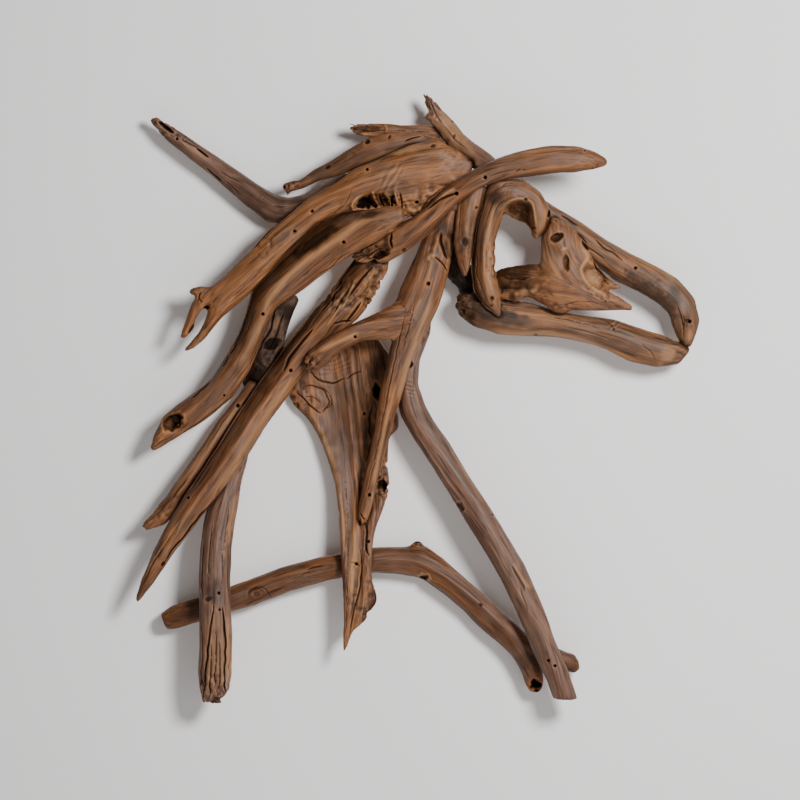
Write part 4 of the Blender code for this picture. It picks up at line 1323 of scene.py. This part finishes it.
def make_stage(settings):
    """A pale wall and floor, a soft light from the upper right, and the camera."""
    wall = plain_material("pale_wall", tuple(settings.wall_colour), one_sided=True)
    floor = plain_material("pale_floor", tuple(settings.wall_colour))
    upright = Matrix.Translation((VIEW_CENTRE[0], WALL_GAP, VIEW_CENTRE[2]))
    upright = upright @ Matrix.Rotation(pi / 2, 4, "X")
    backdrop = flat_sheet("backdrop", STAGE_WIDTH, STAGE_WIDTH, upright, wall)
    backdrop.visible_shadow = False
    backdrop.visible_diffuse = False
    level = Matrix.Translation((VIEW_CENTRE[0], 0.0, FLOOR_UP))
    flat_sheet("floor", STAGE_WIDTH, STAGE_WIDTH, level, floor)
    across, up = sin(radians(LIGHT_RIGHT)), sin(radians(LIGHT_UP))
    towards = Vector((across, -cos(radians(LIGHT_RIGHT)), up)).normalized()
    centre = Vector(VIEW_CENTRE)
    area_light("key", centre + towards * LIGHT_DISTANCE, centre, LIGHT_SIZE, settings.key_power)
    area_light("behind", centre + Vector(BACK_LIGHT_PLACE), centre, BACK_LIGHT_SIZE,
               settings.key_power * BACK_LIGHT_SHARE)
    world = bpy.data.worlds.new("studio")
    world.use_nodes = True
    background = world.node_tree.nodes["Background"]
    background.inputs["Color"].default_value = (1.0, 1.0, 1.0, 1.0)
    background.inputs["Strength"].default_value = settings.room_light
    bpy.context.scene.world = world
    data = bpy.data.cameras.new("camera")
    data.lens = CAMERA_LENS
    data.sensor_width = SENSOR_WIDTH
    data.clip_end = 100.0
    camera = bpy.data.objects.new("camera", data)
    camera.location = centre + Vector((0.0, -VIEW_WIDTH * CAMERA_LENS / SENSOR_WIDTH, 0.0))
    camera.rotation_euler = (pi / 2, 0.0, 0.0)
    bpy.context.scene.collection.objects.link(camera)
    bpy.context.scene.camera = camera


class DriftwoodWoodSettings(bpy.types.PropertyGroup):
    """How the wood looks."""

    lit_colour: FloatVectorProperty(
        name="Lit colour", description="Colour of the palest streaks in the tan wood",
        subtype="COLOR", size=3, min=0.0, max=1.0, default=to_linear("#8b5c37"))


class DriftwoodStageSettings(bpy.types.PropertyGroup):
    """The wall and the light."""

    wall_colour: FloatVectorProperty(
        name="Wall colour", description="Colour of the wall and the floor",
        subtype="COLOR", size=3, min=0.0, max=1.0, default=to_linear("#e9e7e6"))
    key_power: FloatProperty(
        name="Key light", description="Power of the soft light at the upper right",
        unit="POWER", min=0.0, default=225.0)
    room_light: FloatProperty(
        name="Room light", description="Strength of the even light from all around",
        min=0.0, default=0.16)


class BranchStep:
    """A step that builds the branches of one part of the head."""

    def execute(self, context):
        for branch in self.branches:
            make_piece(*branch)
        return {"FINISHED"}


class DRIFTWOOD_OT_woods(bpy.types.Operator):
    """Make the materials of every wood"""

    bl_idname = "driftwood.woods"
    bl_label = "Woods"

    def execute(self, context):
        make_woods(context.scene.driftwood_wood)
        return {"FINISHED"}


class DRIFTWOOD_OT_brow(BranchStep, bpy.types.Operator):
    """Build the branch of the brow"""

    bl_idname = "driftwood.brow"
    bl_label = "Brow"
    branches = BROW


class DRIFTWOOD_OT_skull(BranchStep, bpy.types.Operator):
    """Build the skull plate, its strip and the crown's splinter"""

    bl_idname = "driftwood.skull"
    bl_label = "Skull"
    branches = SKULL


class DRIFTWOOD_OT_ears(BranchStep, bpy.types.Operator):
    """Build the two ears"""

    bl_idname = "driftwood.ears"
    bl_label = "Ears"
    branches = EARS


class DRIFTWOOD_OT_mane(BranchStep, bpy.types.Operator):
    """Build the locks of the mane and the block behind them"""

    bl_idname = "driftwood.mane"
    bl_label = "Mane"
    branches = MANE


class DRIFTWOOD_OT_neck(BranchStep, bpy.types.Operator):
    """Build the fork, the dished board and the dark block of the neck"""

    bl_idname = "driftwood.neck"
    bl_label = "Neck"
    branches = NECK


class DRIFTWOOD_OT_posts(BranchStep, bpy.types.Operator):
    """Build the chest post, the back post and the cross branch"""

    bl_idname = "driftwood.posts"
    bl_label = "Posts"
    branches = POSTS


class DRIFTWOOD_OT_muzzle(BranchStep, bpy.types.Operator):
    """Build the jaw and the bridge of the nose"""

    bl_idname = "driftwood.muzzle"
    bl_label = "Muzzle"
    branches = MUZZLE


class DRIFTWOOD_OT_eye(BranchStep, bpy.types.Operator):
    """Build the arch of the eye, the temple's strip and the knot of the cheek"""

    bl_idname = "driftwood.eye"
    bl_label = "Eye"
    branches = EYE


class DRIFTWOOD_OT_stage(bpy.types.Operator):
    """Set up the wall, the floor, the lights and the camera"""

    bl_idname = "driftwood.stage"
    bl_label = "Wall, light and camera"

    def execute(self, context):
        make_stage(context.scene.driftwood_stage)
        return {"FINISHED"}


class DRIFTWOOD_PT_panel(bpy.types.Panel):
    """Every step of the head, in the order in which they run"""

    bl_label = "Driftwood Horse Head"
    bl_space_type = "VIEW_3D"
    bl_region_type = "UI"
    bl_category = "Driftwood"

    def draw(self, context):
        column = self.layout.column()
        column.prop(context.scene.driftwood_wood, "lit_colour")
        for name in ("wall_colour", "key_power", "room_light"):
            column.prop(context.scene.driftwood_stage, name)
        for operator in OPERATORS:
            column.operator(operator.bl_idname)


OPERATORS = (DRIFTWOOD_OT_woods, DRIFTWOOD_OT_brow, DRIFTWOOD_OT_skull, DRIFTWOOD_OT_ears,
             DRIFTWOOD_OT_mane, DRIFTWOOD_OT_neck, DRIFTWOOD_OT_posts, DRIFTWOOD_OT_muzzle,
             DRIFTWOOD_OT_eye, DRIFTWOOD_OT_stage)
CLASSES = (DriftwoodWoodSettings, DriftwoodStageSettings, *OPERATORS, DRIFTWOOD_PT_panel)


def register():
    """Add the head's operators, settings and panel to Blender."""
    for cls in CLASSES:
        bpy.utils.register_class(cls)
    bpy.types.Scene.driftwood_wood = PointerProperty(type=DriftwoodWoodSettings)
    bpy.types.Scene.driftwood_stage = PointerProperty(type=DriftwoodStageSettings)


def unregister():
    """Take them out again."""
    del bpy.types.Scene.driftwood_stage
    del bpy.types.Scene.driftwood_wood
    for cls in reversed(CLASSES):
        bpy.utils.unregister_class(cls)


def main():
    """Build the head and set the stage."""
    register()
    bpy.ops.driftwood.woods()
    bpy.ops.driftwood.brow()
    bpy.ops.driftwood.skull()
    bpy.ops.driftwood.ears()
    bpy.ops.driftwood.mane()
    bpy.ops.driftwood.neck()
    bpy.ops.driftwood.posts()
    bpy.ops.driftwood.muzzle()
    bpy.ops.driftwood.eye()
    bpy.ops.driftwood.stage()


if __name__ == "__main__":
    main()
